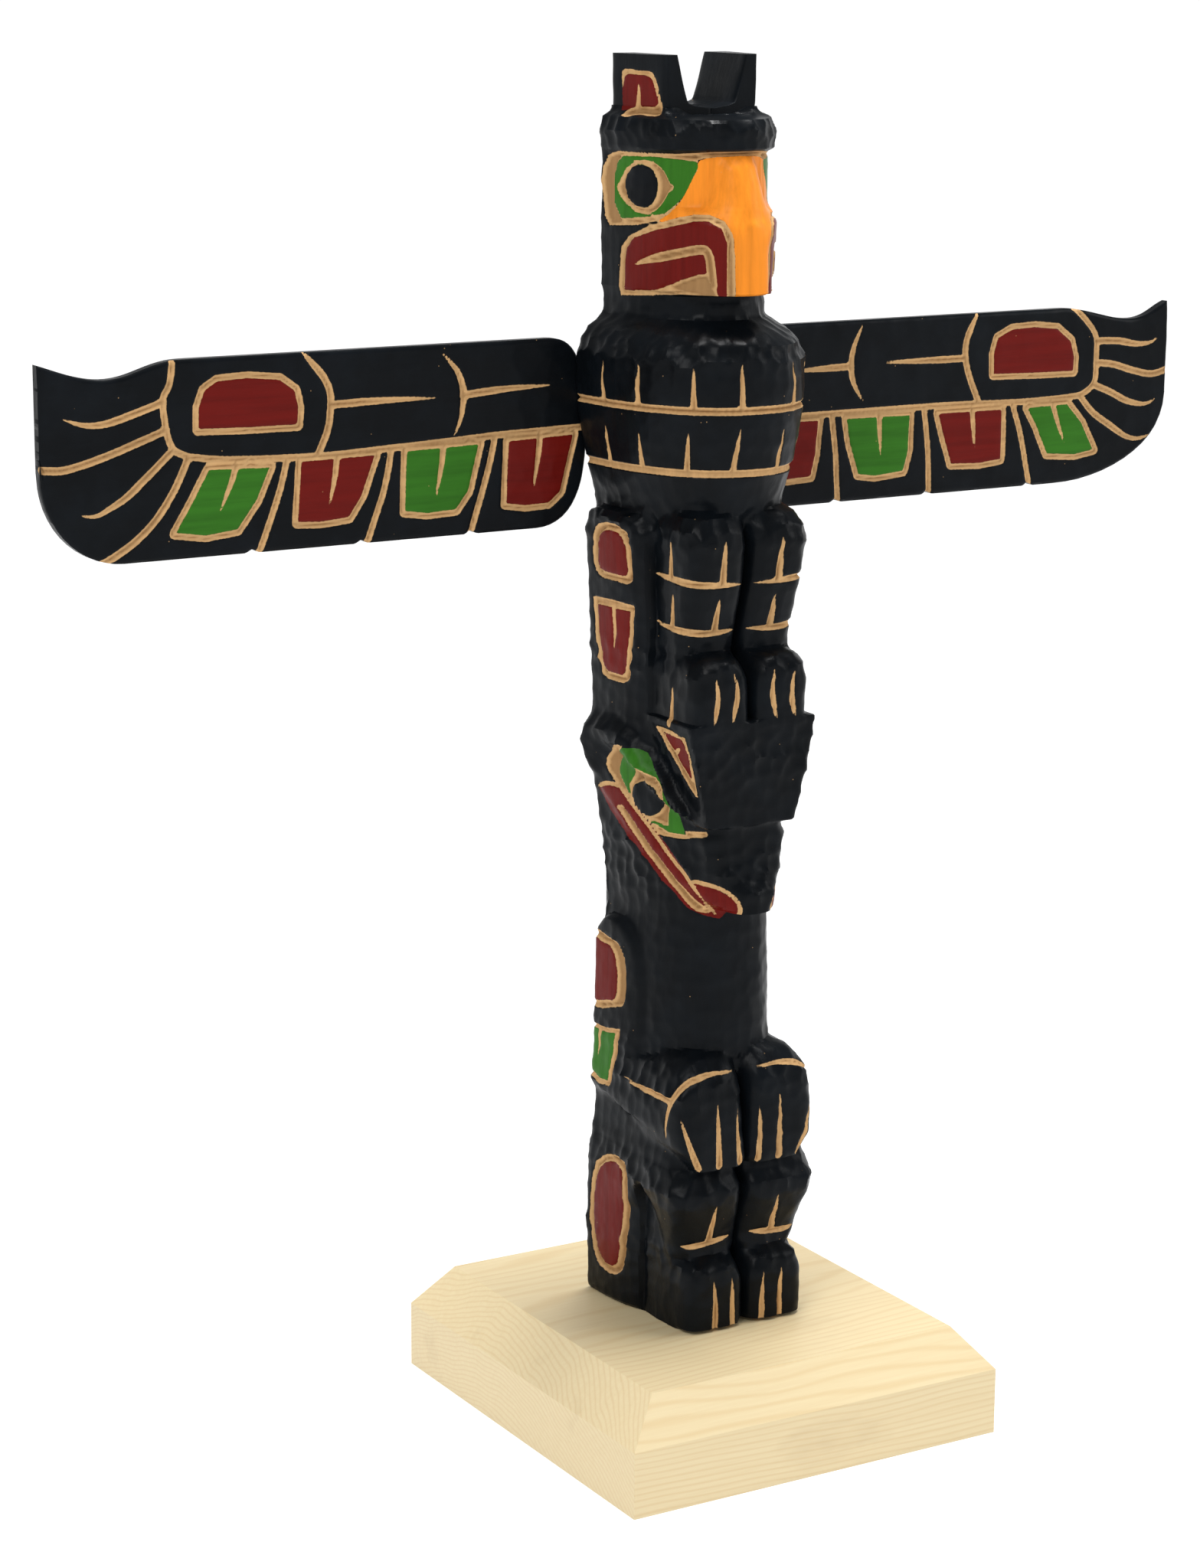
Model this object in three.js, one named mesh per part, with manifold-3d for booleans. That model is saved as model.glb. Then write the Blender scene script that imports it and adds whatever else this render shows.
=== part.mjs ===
// A carved cedar totem pole with two wing boards, standing on a bevelled board.
// Millimetres, +Z up, the figures face -Y, origin at the middle of the underside of the base board.
import * as THREE from 'three';
import { ParametricGeometry } from 'three/addons/geometries/ParametricGeometry.js';
import { mergeVertices } from 'three/addons/utils/BufferGeometryUtils.js';
import Module from 'manifold-3d';

// Base board
const baseWidth = 237;
const baseDepth = 254;
const baseHeight = 62;
const baseSideHeight = 37.8;
const bevelAcross = 20.6;
const bevelDeep = 16.2;

// Pole: its height above the board, and its width and depth at the foot of the carving
const poleHeight = 698;
const poleWidth = 95;
const poleDepth = 97;

// Wing boards: how far each tip reaches from the pole's axis, and how far the boards lap behind the pole
const rightWingReach = 369;
const leftWingReach = 353;
const wingDepth = 103;
const wingThickness = 8;
const wingLap = 7;
const notchDepth = 2;

// Carving gouge cuts on the pole
const lineWidth = 4.6;
const lineDepth = 2.6;

const gap = 0.3;
const fineness = 0.08;

// The pole's carving is set out on a pole of these sizes, and follows the real one in proportion
const drawn = { height: 698, width: 95, depth: 97, back: 44 };
const share = new THREE.Vector3(poleWidth / drawn.width, poleDepth / drawn.depth, poleHeight / drawn.height);

const wasm = await Module();
wasm.setup();

// A closed geometry as a solid: shared corners merged, faces turned outward
function solid(geometry) {
  const bare = geometry.clone();
  bare.deleteAttribute('normal');
  bare.deleteAttribute('uv');
  const merged = mergeVertices(bare, 1e-4);
  const points = merged.attributes.position;
  const corners = [];
  const a = new THREE.Vector3();
  const b = new THREE.Vector3();
  const c = new THREE.Vector3();
  let volume = 0;
  for (let i = 0; i < merged.index.count; i += 3) {
    const [p, q, r] = [merged.index.getX(i), merged.index.getX(i + 1), merged.index.getX(i + 2)];
    if (p === q || q === r || p === r) continue;
    corners.push(p, q, r);
    a.fromBufferAttribute(points, p);
    b.fromBufferAttribute(points, q);
    c.fromBufferAttribute(points, r);
    volume += a.dot(b.cross(c));
  }
  if (volume < 0) corners.reverse();
  const vertProperties = new Float32Array(points.array);
  const triVerts = new Uint32Array(corners);
  return new wasm.Manifold(new wasm.Mesh({ numProp: 3, vertProperties, triVerts, tolerance: fineness }));
}

// A finished solid as a geometry, with corners closer than the tolerance drawn together
function geometryOf(body) {
  const mesh = body.getMesh();
  const raw = new THREE.BufferGeometry();
  raw.setAttribute('position', new THREE.BufferAttribute(new Float32Array(mesh.vertProperties), 3));
  raw.setIndex(new THREE.BufferAttribute(new Uint32Array(mesh.triVerts), 1));
  const merged = mergeVertices(raw, fineness / 4);
  const kept = [];
  for (let i = 0; i < merged.index.count; i += 3) {
    const [p, q, r] = [merged.index.getX(i), merged.index.getX(i + 1), merged.index.getX(i + 2)];
    if (p !== q && q !== r && p !== r) kept.push(p, q, r);
  }
  merged.setIndex(kept);
  return merged;
}

// Rounded sections stacked upward. Each row is [z, x low, x high, y front, y back, power]:
// power 2 is an ellipse, and higher powers are squarer.
function stack(rows, around = 32) {
  const last = rows.length + 1;
  const surface = (u, v, target) => {
    const step = Math.round(v * last);
    const [z, x0, x1, y0, y1, power] = rows[Math.min(Math.max(step - 1, 0), rows.length - 1)];
    const turn = (2 * Math.PI * (Math.round(u * around) % around)) / around;
    const open = step === 0 || step === last ? 0 : 1;
    const bend = (value) => Math.sign(value) * Math.abs(value) ** (2 / power) * open;
    target.set(
      (x0 + x1) / 2 + ((x1 - x0) / 2) * bend(Math.cos(turn)),
      (y0 + y1) / 2 + ((y1 - y0) / 2) * bend(Math.sin(turn)),
      z,
    );
  };
  return new ParametricGeometry(surface, around, last);
}

// Sections centred on the pole's back plane: [z, half width, y front, power]
function trunk(rows, around = 64) {
  const whole = ([z, half, front, power]) => [z, -half, half, front, 2 * drawn.back - front, power];
  return stack(rows.map(whole), around);
}

// A gouged line across a stack: the row under it, the cut and the row over it
function gouged([z, half, front, power]) {
  const cut = lineDepth;
  return [
    [z - lineWidth / 2, half, front, power],
    [z, half - cut, front + cut, power],
    [z + lineWidth / 2, half, front, power],
  ];
}

// A tapered V cut, standing at a place on the surface and turned about Z to face out of it
function slit(x, y, z, width, length, depth, turn = 0) {
  return solid(new THREE.OctahedronGeometry(1).scale(width / 2, depth, length / 2).rotateZ(turn).translate(x, y, z));
}

// A smooth curve through a few points, as points
function through(points, count) {
  return new THREE.SplineCurve(points.map(([a, b]) => new THREE.Vector2(a, b))).getPoints(count);
}

function straight(points) {
  return points.map(([a, b]) => new THREE.Vector2(a, b));
}

function extrude(points, length) {
  return new THREE.ExtrudeGeometry(new THREE.Shape(points), { depth: length, bevelEnabled: false });
}

// An outline seen from the side, in (y, z), drawn out from x0 to x1
function fromSide(points, x0, x1) {
  const frame = new THREE.Matrix4().makeBasis(
    new THREE.Vector3(0, 1, 0), new THREE.Vector3(0, 0, 1), new THREE.Vector3(1, 0, 0));
  return extrude(points, x1 - x0).applyMatrix4(frame).translate(x0, 0, 0);
}

// An outline seen from the front, in (x, z), drawn out from y0 back to y1
function fromFront(points, y0, y1) {
  const frame = new THREE.Matrix4().makeBasis(
    new THREE.Vector3(1, 0, 0), new THREE.Vector3(0, 0, 1), new THREE.Vector3(0, -1, 0));
  return extrude(points, y1 - y0).applyMatrix4(frame).translate(0, y1, 0);
}

// An outline seen from above, in (x, y), drawn up from z0 to z1
function fromAbove(points, z0, z1) {
  return extrude(points, z1 - z0).translate(0, 0, z0);
}

function mirrored(geometry) {
  return geometry.clone().scale(-1, 1, 1);
}

// Both the +X form and its mirror image
function both(geometry) {
  return solid(geometry).add(solid(mirrored(geometry)));
}

function join(solids) {
  return solids.reduce((all, one) => all.add(one));
}

// Eagle: crown, brow band, eye sockets and the wide cheeks
function eagleHead() {
  const rows = [
    [573, 42.5, -43.5, 1.9],
    [611, 43, -44, 1.95],
    [617, 42.5, -38, 1.95],
    [620, 41.3, -27.5, 2.2],
    [647.5, 41, -26.5, 2.2],
    [649.5, 44.2, -30, 2.25],
    [658, 44.4, -31, 2.25],
    [663.5, 42.6, -28.5, 2.25],
    [666, 39.6, -23, 2.2],
  ];
  return solid(trunk(rows));
}

function eagleBeak() {
  const rows = [
    [575, -12, 12, -45.5, 20, 5],
    [600, -12, 12, -44.5, 20, 4.5],
    [610, -29, 29, -43.5, 24, 1.7],
    [616, -23, 23, -42, 20, 1.9],
    [624, -17.5, 17.5, -39.5, 20, 2.3],
    [634, -14.5, 14.5, -36.5, 20, 2.7],
    [641, -13.5, 13.5, -33.8, 20, 2.7],
    [646, -12, 12, -29.5, 20, 2.6],
    [648.5, -10, 10, -25, 20, 2.6],
  ];
  return solid(stack(rows, 40));
}

// The two upright ears, cut apart by a saddle that flares at its foot
function eagleEars() {
  const plan = straight([[28.6, 0], [36.6, 44], [-36.6, 44], [-28.6, 0]]);
  const block = solid(fromAbove(plan, 655, 698));
  const flare = through([[21.6, 699], [20.4, 686], [17.8, 677], [11.5, 672.5], [0, 671]], 10);
  const outline = [...flare, ...flare.slice(0, -1).reverse().map((p) => new THREE.Vector2(-p.x, p.y))];
  const saddle = solid(fromFront(outline, -2, 46));
  return block.subtract(saddle);
}

const chestLines = [[514.5, 57.6, -53.2, 2.35], [480.5, 51.5, -47.5, 2.4]];

// Eagle's neck and barrel chest, down to the waist, with two gouged lines of feathers
function eagleBody() {
  const rows = [
    [438, 40, -25, 4],
    [450, 43.5, -36, 2.5],
    [462, 46, -41, 2.45],
    ...gouged(chestLines[1]),
    [498, 55.6, -51.2, 2.35],
    ...gouged(chestLines[0]),
    [526, 58.3, -53.6, 2.35],
    [538, 57.6, -53, 2.3],
    [548, 55, -49.5, 2.25],
    [553.5, 50.5, -42.5, 2.2],
    [557.5, 44.5, -33, 2.15],
    [560.5, 41.5, -28, 2.15],
    [576, 41.4, -25.5, 2.15],
  ];
  const body = solid(trunk(rows));
  return chestLines.reduce((cut, [z, half, front, power]) => {
    const ticks = [-0.98, -0.66, -0.35, 0, 0.35, 0.66, 0.98].map((turn) => {
      const bend = (value) => Math.sign(value) * Math.abs(value) ** (2 / power);
      const x = half * bend(Math.sin(turn));
      const y = drawn.back - (drawn.back - front) * bend(Math.cos(turn));
      return slit(x, y, z, lineWidth * 1.2, 2 * 19, lineDepth, turn);
    });
    const above = solid(new THREE.BoxGeometry(300, 300, 60).translate(0, 0, z + 29));
    return cut.subtract(join(ticks).intersect(above));
  }, body);
}

function eagleLegs() {
  const line = ([z, high, front]) => [
    [z - lineWidth / 2, 1, high, front, 10, 4],
    [z, 1 + lineDepth / 2, high - lineDepth, front + lineDepth, 10, 4],
    [z + lineWidth / 2, 1, high, front, 10, 4],
  ];
  const leg = [
    [380, 1.2, 34.5, -33, 10, 4],
    ...line([396.5, 35, -37.5]),
    ...line([423, 36.5, -45.5]),
    [442, 0.8, 37.2, -48, 10, 4],
    [451, 1.4, 36.4, -46.5, 10, 3.6],
    [457, 4, 34, -41.5, 10, 3],
    [460, 9, 30, -33, 5, 2.6],
  ];
  const foot = [
    [342, 1, 37, -51, 10, 5],
    [366, 1, 37.4, -51.4, 10, 5],
    [375, 1.6, 36.4, -50, 10, 4.2],
    [380, 4, 33.5, -45.5, 8, 3.4],
    [382.5, 9, 29.5, -38, 4, 3],
  ];
  const toes = [12.5, 24].flatMap((x) => [-x, x].map((place) => slit(place, -51.4, 360, lineWidth, 30, lineDepth)));
  return both(stack(leg, 28)).add(both(stack(foot, 28))).subtract(join(toes));
}

// The flat upright strips at the sides: the folded tail
function tailStrips() {
  const outline = through([[44, 447], [37, 454.5], [14, 455.5], [-1, 452], [-7, 442]], 10);
  const side = both(fromSide([...outline, ...straight([[-7, 330], [44, 330]])], 28, 53));
  const plan = solid(trunk([[325, 46, -24, 3], [360, 47, -26, 3], [400, 49, -27, 3], [440, 51.4, -27, 3],
    [460, 51.4, -27, 3]]));
  return side.intersect(plan);
}

function coreBehindLegs() {
  return solid(trunk([[330, 40, -26, 4], [445, 40, -26, 4]], 48));
}

// Bear: the flat fronted ear block that the eagle's feet stand on
function bearEarBlock() {
  const outline = straight([[-28.5, 288], [28.5, 288], [40.6, 345.6], [-40.6, 345.6]]);
  return solid(fromFront(outline, -50.5, 30));
}

function bearBrow() {
  const lower = through([[30, 300], [28.5, 314], [21, 319.5], [6, 314], [-20, 297], [-40, 286.5], [-56, 283.5]], 18);
  const upper = through([[-58, 291.5], [-46, 293.5], [-30, 305], [-12, 323], [4, 338], [20, 344], [36, 342],
    [44, 334]], 20);
  const side = solid(fromSide([...straight([[44, 296]]), ...lower, ...upper], -53, 53));
  const plan = solid(trunk([[270, 42, -48, 4.5], [283, 44, -51, 4.5], [290, 46, -53, 5], [302, 48.5, -54.5, 5],
    [318, 51.6, -54, 5], [332, 51, -52, 5], [345, 48, -50, 5]]));
  return side.intersect(plan);
}

// Bear's wedge of a muzzle, with a hollow bridge and blunt nose, and the slanting mouth along its edge
function bearMuzzle() {
  const bridge = through([[-58, 251], [-51, 257], [-47.5, 268], [-48, 279], [-49, 287]], 12);
  const jaw = straight([[44, 293], [38, 296], [-38, 243], [-50, 238.5], [-60, 238]]);
  const side = solid(fromSide([...jaw, ...bridge, ...straight([[-40, 300], [44, 335]])], -53, 53));
  const plan = solid(trunk([[230, 42.5, -61, 1.7], [260, 44, -61.5, 1.7], [290, 45.5, -60, 1.9],
    [340, 47, -57, 2.3]]));
  const nose = solid(fromAbove(straight([[-60, -57.6], [60, -57.6], [60, 60], [-60, 60]]), 200, 360));
  return side.intersect(plan).intersect(nose);
}

function bearBody() {
  const rows = [
    [0, 38, -8, 4],
    [80, 40, -12, 4],
    [118, 41, -35, 2.8],
    [160, 41.5, -37.5, 2.7],
    [200, 40.5, -37.5, 2.7],
    [232, 38, -37, 2.8],
    [262, 40, -38, 2.8],
    [294, 43.6, -38, 2.8],
    [334, 43, -30, 3],
  ];
  return solid(trunk(rows, 56));
}

function bearUpperArms() {
  const crown = through([[44, 212], [36, 222], [25, 225], [12, 221], [3, 209], [-1, 190]], 14);
  const side = both(fromSide([...crown, ...straight([[-1, 140], [14, 118], [44, 120]])], 22, 50));
  const plan = solid(trunk([[110, 46, -24, 3], [160, 45.4, -22, 3], [230, 44.4, -20, 3]]));
  return side.intersect(plan);
}

// Forearms come round from the elbows, and the hands lie over the knees
function bearForearms() {
  const upper = through([[44, 150], [14, 149], [-8, 151], [-26, 156]], 8);
  const side = both(fromSide([...upper, ...straight([[-44, 152], [-48, 94], [-34, 94], [2, 107], [44, 119.5]])], 14, 50));
  const plan = solid(trunk([[80, 46.8, -52, 5], [118, 46.8, -52, 5], [140, 45, -49, 4.4], [152, 41.5, -43, 4],
    [160, 37, -36, 4]]));
  const hand = [
    [94, 1, 45.2, -52.2, 4, 6],
    [122, 1, 45.2, -52.2, 4, 5],
    [139, 1, 44.2, -50.6, 4, 4.4],
    [150, 2.5, 39.5, -47, 2, 3.6],
    [156, 7, 33.5, -41, -4, 3],
    [158.5, 13, 28, -34, -12, 2.6],
  ];
  const slits = [14, 27].flatMap((x) => [-x, x].map((place) => slit(place, -52.2, 94, lineWidth, 88, lineDepth)));
  return side.intersect(plan).add(both(stack(hand, 36))).subtract(join(slits));
}

// Bear's drawn-up legs: thigh strip and knee, shin, and foot
function bearLegs() {
  const knee = through([[-9, 76], [-22, 82], [-36, 93], [-46, 104]], 8);
  const thigh = [...straight([[44, 0], [44, 122], [-46, 106]]), ...knee.reverse(), ...straight([[-4, 0]])];
  const side = both(fromSide(thigh, 14, 50));
  const plan = solid(trunk([[0, 47.8, -24, 3], [70, 48, -28, 3], [82, 48, -46, 5], [100, 47.5, -52, 5],
    [124, 46.5, -50, 5]]));
  const leg = [
    [0, 1.2, 38.5, -40, 10, 5],
    [38, 1.2, 38.5, -41, 10, 5],
    [54, 1.2, 41.5, -45, 10, 4.6],
    [68, 1.2, 45.6, -50.5, 10, 4.6],
    [79, 1.2, 47.6, -53.4, 10, 4.6],
    [90, 1.2, 47.4, -52.8, 10, 4.6],
    [102, 1.2, 46, -50, 10, 4.6],
  ];
  const foot = [
    [0, 1, 38.8, -53, 0, 5.5],
    [29, 1, 38.4, -53, 0, 5.5],
    [37, 2.6, 36.8, -50.5, 0, 4.4],
    [41.5, 8, 32, -44, -4, 3.4],
  ];
  const toes = [12.5, 24].flatMap((x) => [-x, x].map((place) => slit(place, -53, -1, lineWidth, 62, lineDepth)));
  return join([side.intersect(plan), both(stack(leg, 28)), both(stack(foot, 28))]).subtract(join(toes));
}

function pole() {
  const forms = [eagleHead(), eagleBeak(), eagleEars(), eagleBody(), eagleLegs(), tailStrips(), coreBehindLegs(),
    bearEarBlock(), bearBrow(), bearMuzzle(), bearBody(), bearUpperArms(), bearForearms(), bearLegs()];
  const stock = solid(new THREE.BoxGeometry(400, 200 + drawn.back, drawn.height)
    .translate(0, drawn.back / 2 - 100, drawn.height / 2));
  const geometry = geometryOf(join(forms).intersect(stock));
  return geometry.scale(share.x, share.y, share.z).translate(0, 0, baseHeight + gap);
}

function baseBoard() {
  const shoulder = (width, inset) => straight([[-width / 2, 0], [width / 2, 0], [width / 2, baseSideHeight],
    [width / 2 - inset, baseHeight], [inset - width / 2, baseHeight], [-width / 2, baseSideHeight]]);
  const front = solid(fromFront(shoulder(baseWidth, bevelAcross), -baseDepth / 2, baseDepth / 2));
  const side = solid(fromSide(shoulder(baseDepth, bevelDeep), -baseWidth / 2, baseWidth / 2));
  return geometryOf(front.intersect(side));
}

const poleBack = drawn.back * share.y;
const wingTop = baseHeight + gap + 547 * share.z;
const wingInner = 57 * share.x - wingLap;
const wingBottom = wingTop - wingDepth;

// A wing board on the +X side, seen from the front. The places along it are shares of its length
// out from the pole: the crest, the dip before the tip, the round lower corner and the notches.
function wingBoard({ reach, crest, dip, corner, notches }) {
  const across = (t) => wingInner + (reach - wingInner) * t;
  const down = (t) => wingTop - wingDepth * t;
  const shape = new THREE.Shape();
  shape.moveTo(across(0.075), wingTop);
  shape.lineTo(across(crest), wingTop);
  shape.bezierCurveTo(across(crest + 0.06), wingTop, across(dip - 0.055), down(0.085), across(dip), down(0.08));
  shape.bezierCurveTo(across(dip + 0.04), down(0.075), across(0.97), down(0.02), reach, down(-0.01));
  shape.lineTo(reach, down(0.52));
  shape.bezierCurveTo(reach, down(0.82), across((corner + 1) / 2), wingBottom, across(corner), wingBottom);
  for (const notch of notches) {
    shape.lineTo(across(notch + 0.012), wingBottom);
    shape.lineTo(across(notch), wingBottom + notchDepth);
    shape.lineTo(across(notch - 0.012), wingBottom);
  }
  shape.lineTo(across(0.1), wingBottom);
  shape.bezierCurveTo(across(0.03), wingBottom, wingInner, down(0.82), wingInner, down(0.5));
  shape.bezierCurveTo(wingInner, down(0.12), across(0.02), wingTop, across(0.075), wingTop);
  return fromFront(shape.getPoints(8).slice(0, -1), poleBack + gap, poleBack + gap + wingThickness);
}

function rightWing() {
  const board = { reach: rightWingReach, crest: 0.75, dip: 0.89, corner: 0.86, notches: [0.633, 0.433, 0.226] };
  return geometryOf(solid(mirrored(wingBoard(board))));
}

function leftWing() {
  const board = { reach: leftWingReach, crest: 0.74, dip: 0.915, corner: 0.73, notches: [0.667, 0.427, 0.215] };
  return geometryOf(solid(wingBoard(board)));
}

function mesh(name, geometry, color, roughness) {
  const flat = geometry.toNonIndexed();
  flat.computeVertexNormals();
  const piece = new THREE.Mesh(flat, new THREE.MeshStandardMaterial({ color, roughness, metalness: 0 }));
  piece.name = name;
  return piece;
}

const totemPole = new THREE.Group();
totemPole.add(
  mesh('base_board', baseBoard(), 0xe6d3a0, 0.6),
  mesh('pole', pole(), 0x17191b, 0.45),
  mesh('right_wing', rightWing(), 0x17191b, 0.45),
  mesh('left_wing', leftWing(), 0x17191b, 0.45),
);

export default totemPole;
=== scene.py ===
# Carved and painted cedar totem pole: eagle with wing boards over a seated bear, on a bevelled board.
# Shapes are worked out in millimetres above the board's top and written to the meshes in metres.
import math
import bpy
import numpy as np
from mathutils import Matrix


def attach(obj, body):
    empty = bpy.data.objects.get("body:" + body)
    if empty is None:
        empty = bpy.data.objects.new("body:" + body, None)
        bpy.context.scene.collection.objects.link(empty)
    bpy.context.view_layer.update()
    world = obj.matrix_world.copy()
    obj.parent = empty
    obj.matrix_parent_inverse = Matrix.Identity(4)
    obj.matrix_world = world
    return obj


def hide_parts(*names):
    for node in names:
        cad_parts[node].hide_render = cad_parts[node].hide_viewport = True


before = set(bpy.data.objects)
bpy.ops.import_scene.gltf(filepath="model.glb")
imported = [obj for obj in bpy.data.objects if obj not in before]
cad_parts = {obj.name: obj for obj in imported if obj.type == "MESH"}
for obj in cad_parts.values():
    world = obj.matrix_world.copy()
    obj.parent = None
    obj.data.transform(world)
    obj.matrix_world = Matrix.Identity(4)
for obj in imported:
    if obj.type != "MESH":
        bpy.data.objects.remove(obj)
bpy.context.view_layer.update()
boardTop = 62.3    # mm, where the carving stands


# Curves, outlines and strokes

# A smooth curve through points: cubic pieces whose slope at a point is half the step between its neighbours
def curveThrough(points, perStep=8):
    p = np.array(points, float)
    before = np.vstack([p[:1], p[:-2], p[-2:-1]])[: len(p) - 1]
    after = np.vstack([p[2:], p[-1:]])
    start, end = p[:-1], p[1:]
    t = np.linspace(0, 1, perStep, endpoint=False)[None, :, None]
    slopeIn, slopeOut = ((end - before) / 2)[:, None], ((after - start) / 2)[:, None]
    a, b = start[:, None], end[:, None]
    curve = ((2 * a - 2 * b + slopeIn + slopeOut) * t ** 3
             + (-3 * a + 3 * b - 2 * slopeIn - slopeOut) * t ** 2 + slopeIn * t + a)
    return np.vstack([curve.reshape(-1, p.shape[1]), p[-1:]])


# The same closed: the points are wrapped round before the curve is drawn
def closedCurve(points, perStep=6):
    p = np.array(points, float)
    wrapped = np.vstack([p[-1:], p, p[:2]])
    return curveThrough(wrapped, perStep)[perStep:-perStep][:-1]


# Distance in a plane to a closed outline, negative inside: the nearest of its edges, signed by crossings
def outlineDistance(a, b, outline):
    a, b = np.broadcast_arrays(np.asarray(a, float), np.asarray(b, float))
    nearest = np.full(a.shape, 1e9)
    inside = np.zeros(a.shape, bool)
    start = np.asarray(outline, float)
    for (x0, y0), (x1, y1) in zip(start, np.roll(start, -1, axis=0)):
        dx, dy = x1 - x0, y1 - y0
        along = np.clip(((a - x0) * dx + (b - y0) * dy) / (dx * dx + dy * dy + 1e-12), 0, 1)
        nearest = np.minimum(nearest, (a - x0 - along * dx) ** 2 + (b - y0 - along * dy) ** 2)
        crosses = (y0 > b) != (y1 > b)
        inside ^= crosses & (a < x0 + dx * (b - y0) / (dy if abs(dy) > 1e-9 else 1e-9))
    return np.where(inside, -1, 1) * np.sqrt(nearest)


# Points every step along a line, with how far along each one is, from 0 to 1
def evenly(line, step=0.8):
    line = np.asarray(line, float)
    reach = np.concatenate([[0], np.cumsum(np.linalg.norm(np.diff(line, axis=0), axis=1))])
    share = np.linspace(0, 1, max(int(reach[-1] / step) + 1, 3))
    return np.stack([np.interp(share * reach[-1], reach, line[:, k]) for k in range(line.shape[1])], 1), share


# Half widths along a stroke: full, and drawn out to a point over a share of its length at either end
def strokeWidth(share, half, taperStart, taperEnd):
    grow = np.clip(share / max(taperStart, 1e-6), 0, 1) if taperStart else 1.0
    fade = np.clip((1 - share) / max(taperEnd, 1e-6), 0, 1) if taperEnd else 1.0
    return half * np.sqrt(grow * fade * np.ones_like(share)) - 0.05


# Rounded joining of two distance fields: the nearer one, with the crease filled over a width
def softJoin(a, b, width):
    mix = np.clip(0.5 + 0.5 * (b - a) / width, 0, 1)
    return b * (1 - mix) + a * mix - width * mix * (1 - mix)


# Repeatable random numbers for a grid of cells
def cellRandom(i, j, seed):
    value = np.sin(i * 127.1 + j * 311.7 + seed * 74.7) * 43758.5453
    return value - np.floor(value)


# Knife facets: squared distance to the nearest of one jittered point per cell of space, a dish cut by cut
def knifeFacets(points, cell, seed):
    place = np.floor(points / np.array(cell))
    nearest = np.full(points.shape[:-1], 1e9)
    for step in np.ndindex(3, 3, 3):
        corner = place + np.array(step) - 1
        mixed = corner @ np.array([1.0, 2.45, 2.12])
        jitter = np.stack([cellRandom(mixed, mixed, seed + n) for n in range(3)], -1)
        apart = points - (corner + 0.15 + 0.7 * jitter) * np.array(cell)
        nearest = np.minimum(nearest, (apart ** 2).sum(-1))
    return nearest


# Smooth waviness: cell random values blended across each cell with a smooth step
def wavy(a, b, size, seed):
    i, j = np.floor(a / size), np.floor(b / size)
    f, g = a / size - i, b / size - j
    f, g = f * f * (3 - 2 * f), g * g * (3 - 2 * g)
    low = cellRandom(i, j, seed) * (1 - f) + cellRandom(i + 1, j, seed) * f
    high = cellRandom(i, j + 1, seed) * (1 - f) + cellRandom(i + 1, j + 1, seed) * f
    return low * (1 - g) + high * g - 0.5


# Quads between neighbours in a grid of vertex numbers
def gridQuads(index):
    return np.stack([index[:-1, :-1], index[:-1, 1:], index[1:, 1:], index[1:, :-1]], 2).reshape(-1, 4)


# Quads of a ring grid whose columns close on themselves, and fans to the two vertices that follow it
def closedGrid(rows, columns):
    k, c = np.meshgrid(np.arange(rows - 1), np.arange(columns), indexing="ij")
    after = (c + 1) % columns
    low, high = k * columns, (k + 1) * columns
    quads = np.stack([low + c, low + after, high + after, high + c], 2)
    c, after, last = c[0], after[0], (rows - 1) * columns
    lowFan = np.stack([after, c, np.full(columns, rows * columns)], 1)
    highFan = np.stack([last + c, last + after, np.full(columns, rows * columns + 1)], 1)
    return quads.reshape(-1, 4), np.vstack([highFan, lowFan])


# Turns faces round if the closed mesh has a negative volume
def facingOut(vertices, quads, triangles):
    corners = np.vstack([quads[:, [0, 1, 2]], quads[:, [0, 2, 3]], triangles])
    a, b, c = (vertices[corners[:, n]] for n in range(3))
    if (a * np.cross(b, c)).sum() < 0:
        return quads[:, ::-1], triangles[:, ::-1]
    return quads, triangles


# A mesh from vertices in mm above the board and a face list, with one float attribute per paint
def makePiece(name, vertices, quads, triangles, paints, material, sharpAngle=32):
    mesh = bpy.data.meshes.new(name)
    counts = np.concatenate([np.full(len(quads), 4), np.full(len(triangles), 3)]).astype(np.int32)
    loops = np.concatenate([quads.ravel(), triangles.ravel()]).astype(np.int32)
    mesh.vertices.add(len(vertices))
    mesh.vertices.foreach_set("co", ((vertices + [0, 0, boardTop]) / 1000).astype(np.float32).ravel())
    mesh.loops.add(len(loops))
    mesh.loops.foreach_set("vertex_index", loops)
    mesh.polygons.add(len(counts))
    mesh.polygons.foreach_set("loop_start", np.concatenate([[0], np.cumsum(counts)[:-1]]).astype(np.int32))
    mesh.polygons.foreach_set("loop_total", counts)
    mesh.update(calc_edges=True)
    mesh.validate()
    mesh.polygons.foreach_set("use_smooth", np.ones(len(mesh.polygons), bool))
    mesh.set_sharp_from_angle(angle=math.radians(sharpAngle))
    for paint, values in paints.items():
        layer = mesh.attributes.new(paint, "FLOAT", "POINT")
        layer.data.foreach_set("value", np.clip(values, -9, 9).astype(np.float32).ravel())
    mesh.materials.append(material)
    piece = bpy.data.objects.new(name, mesh)
    bpy.context.scene.collection.objects.link(piece)
    return piece


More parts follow.
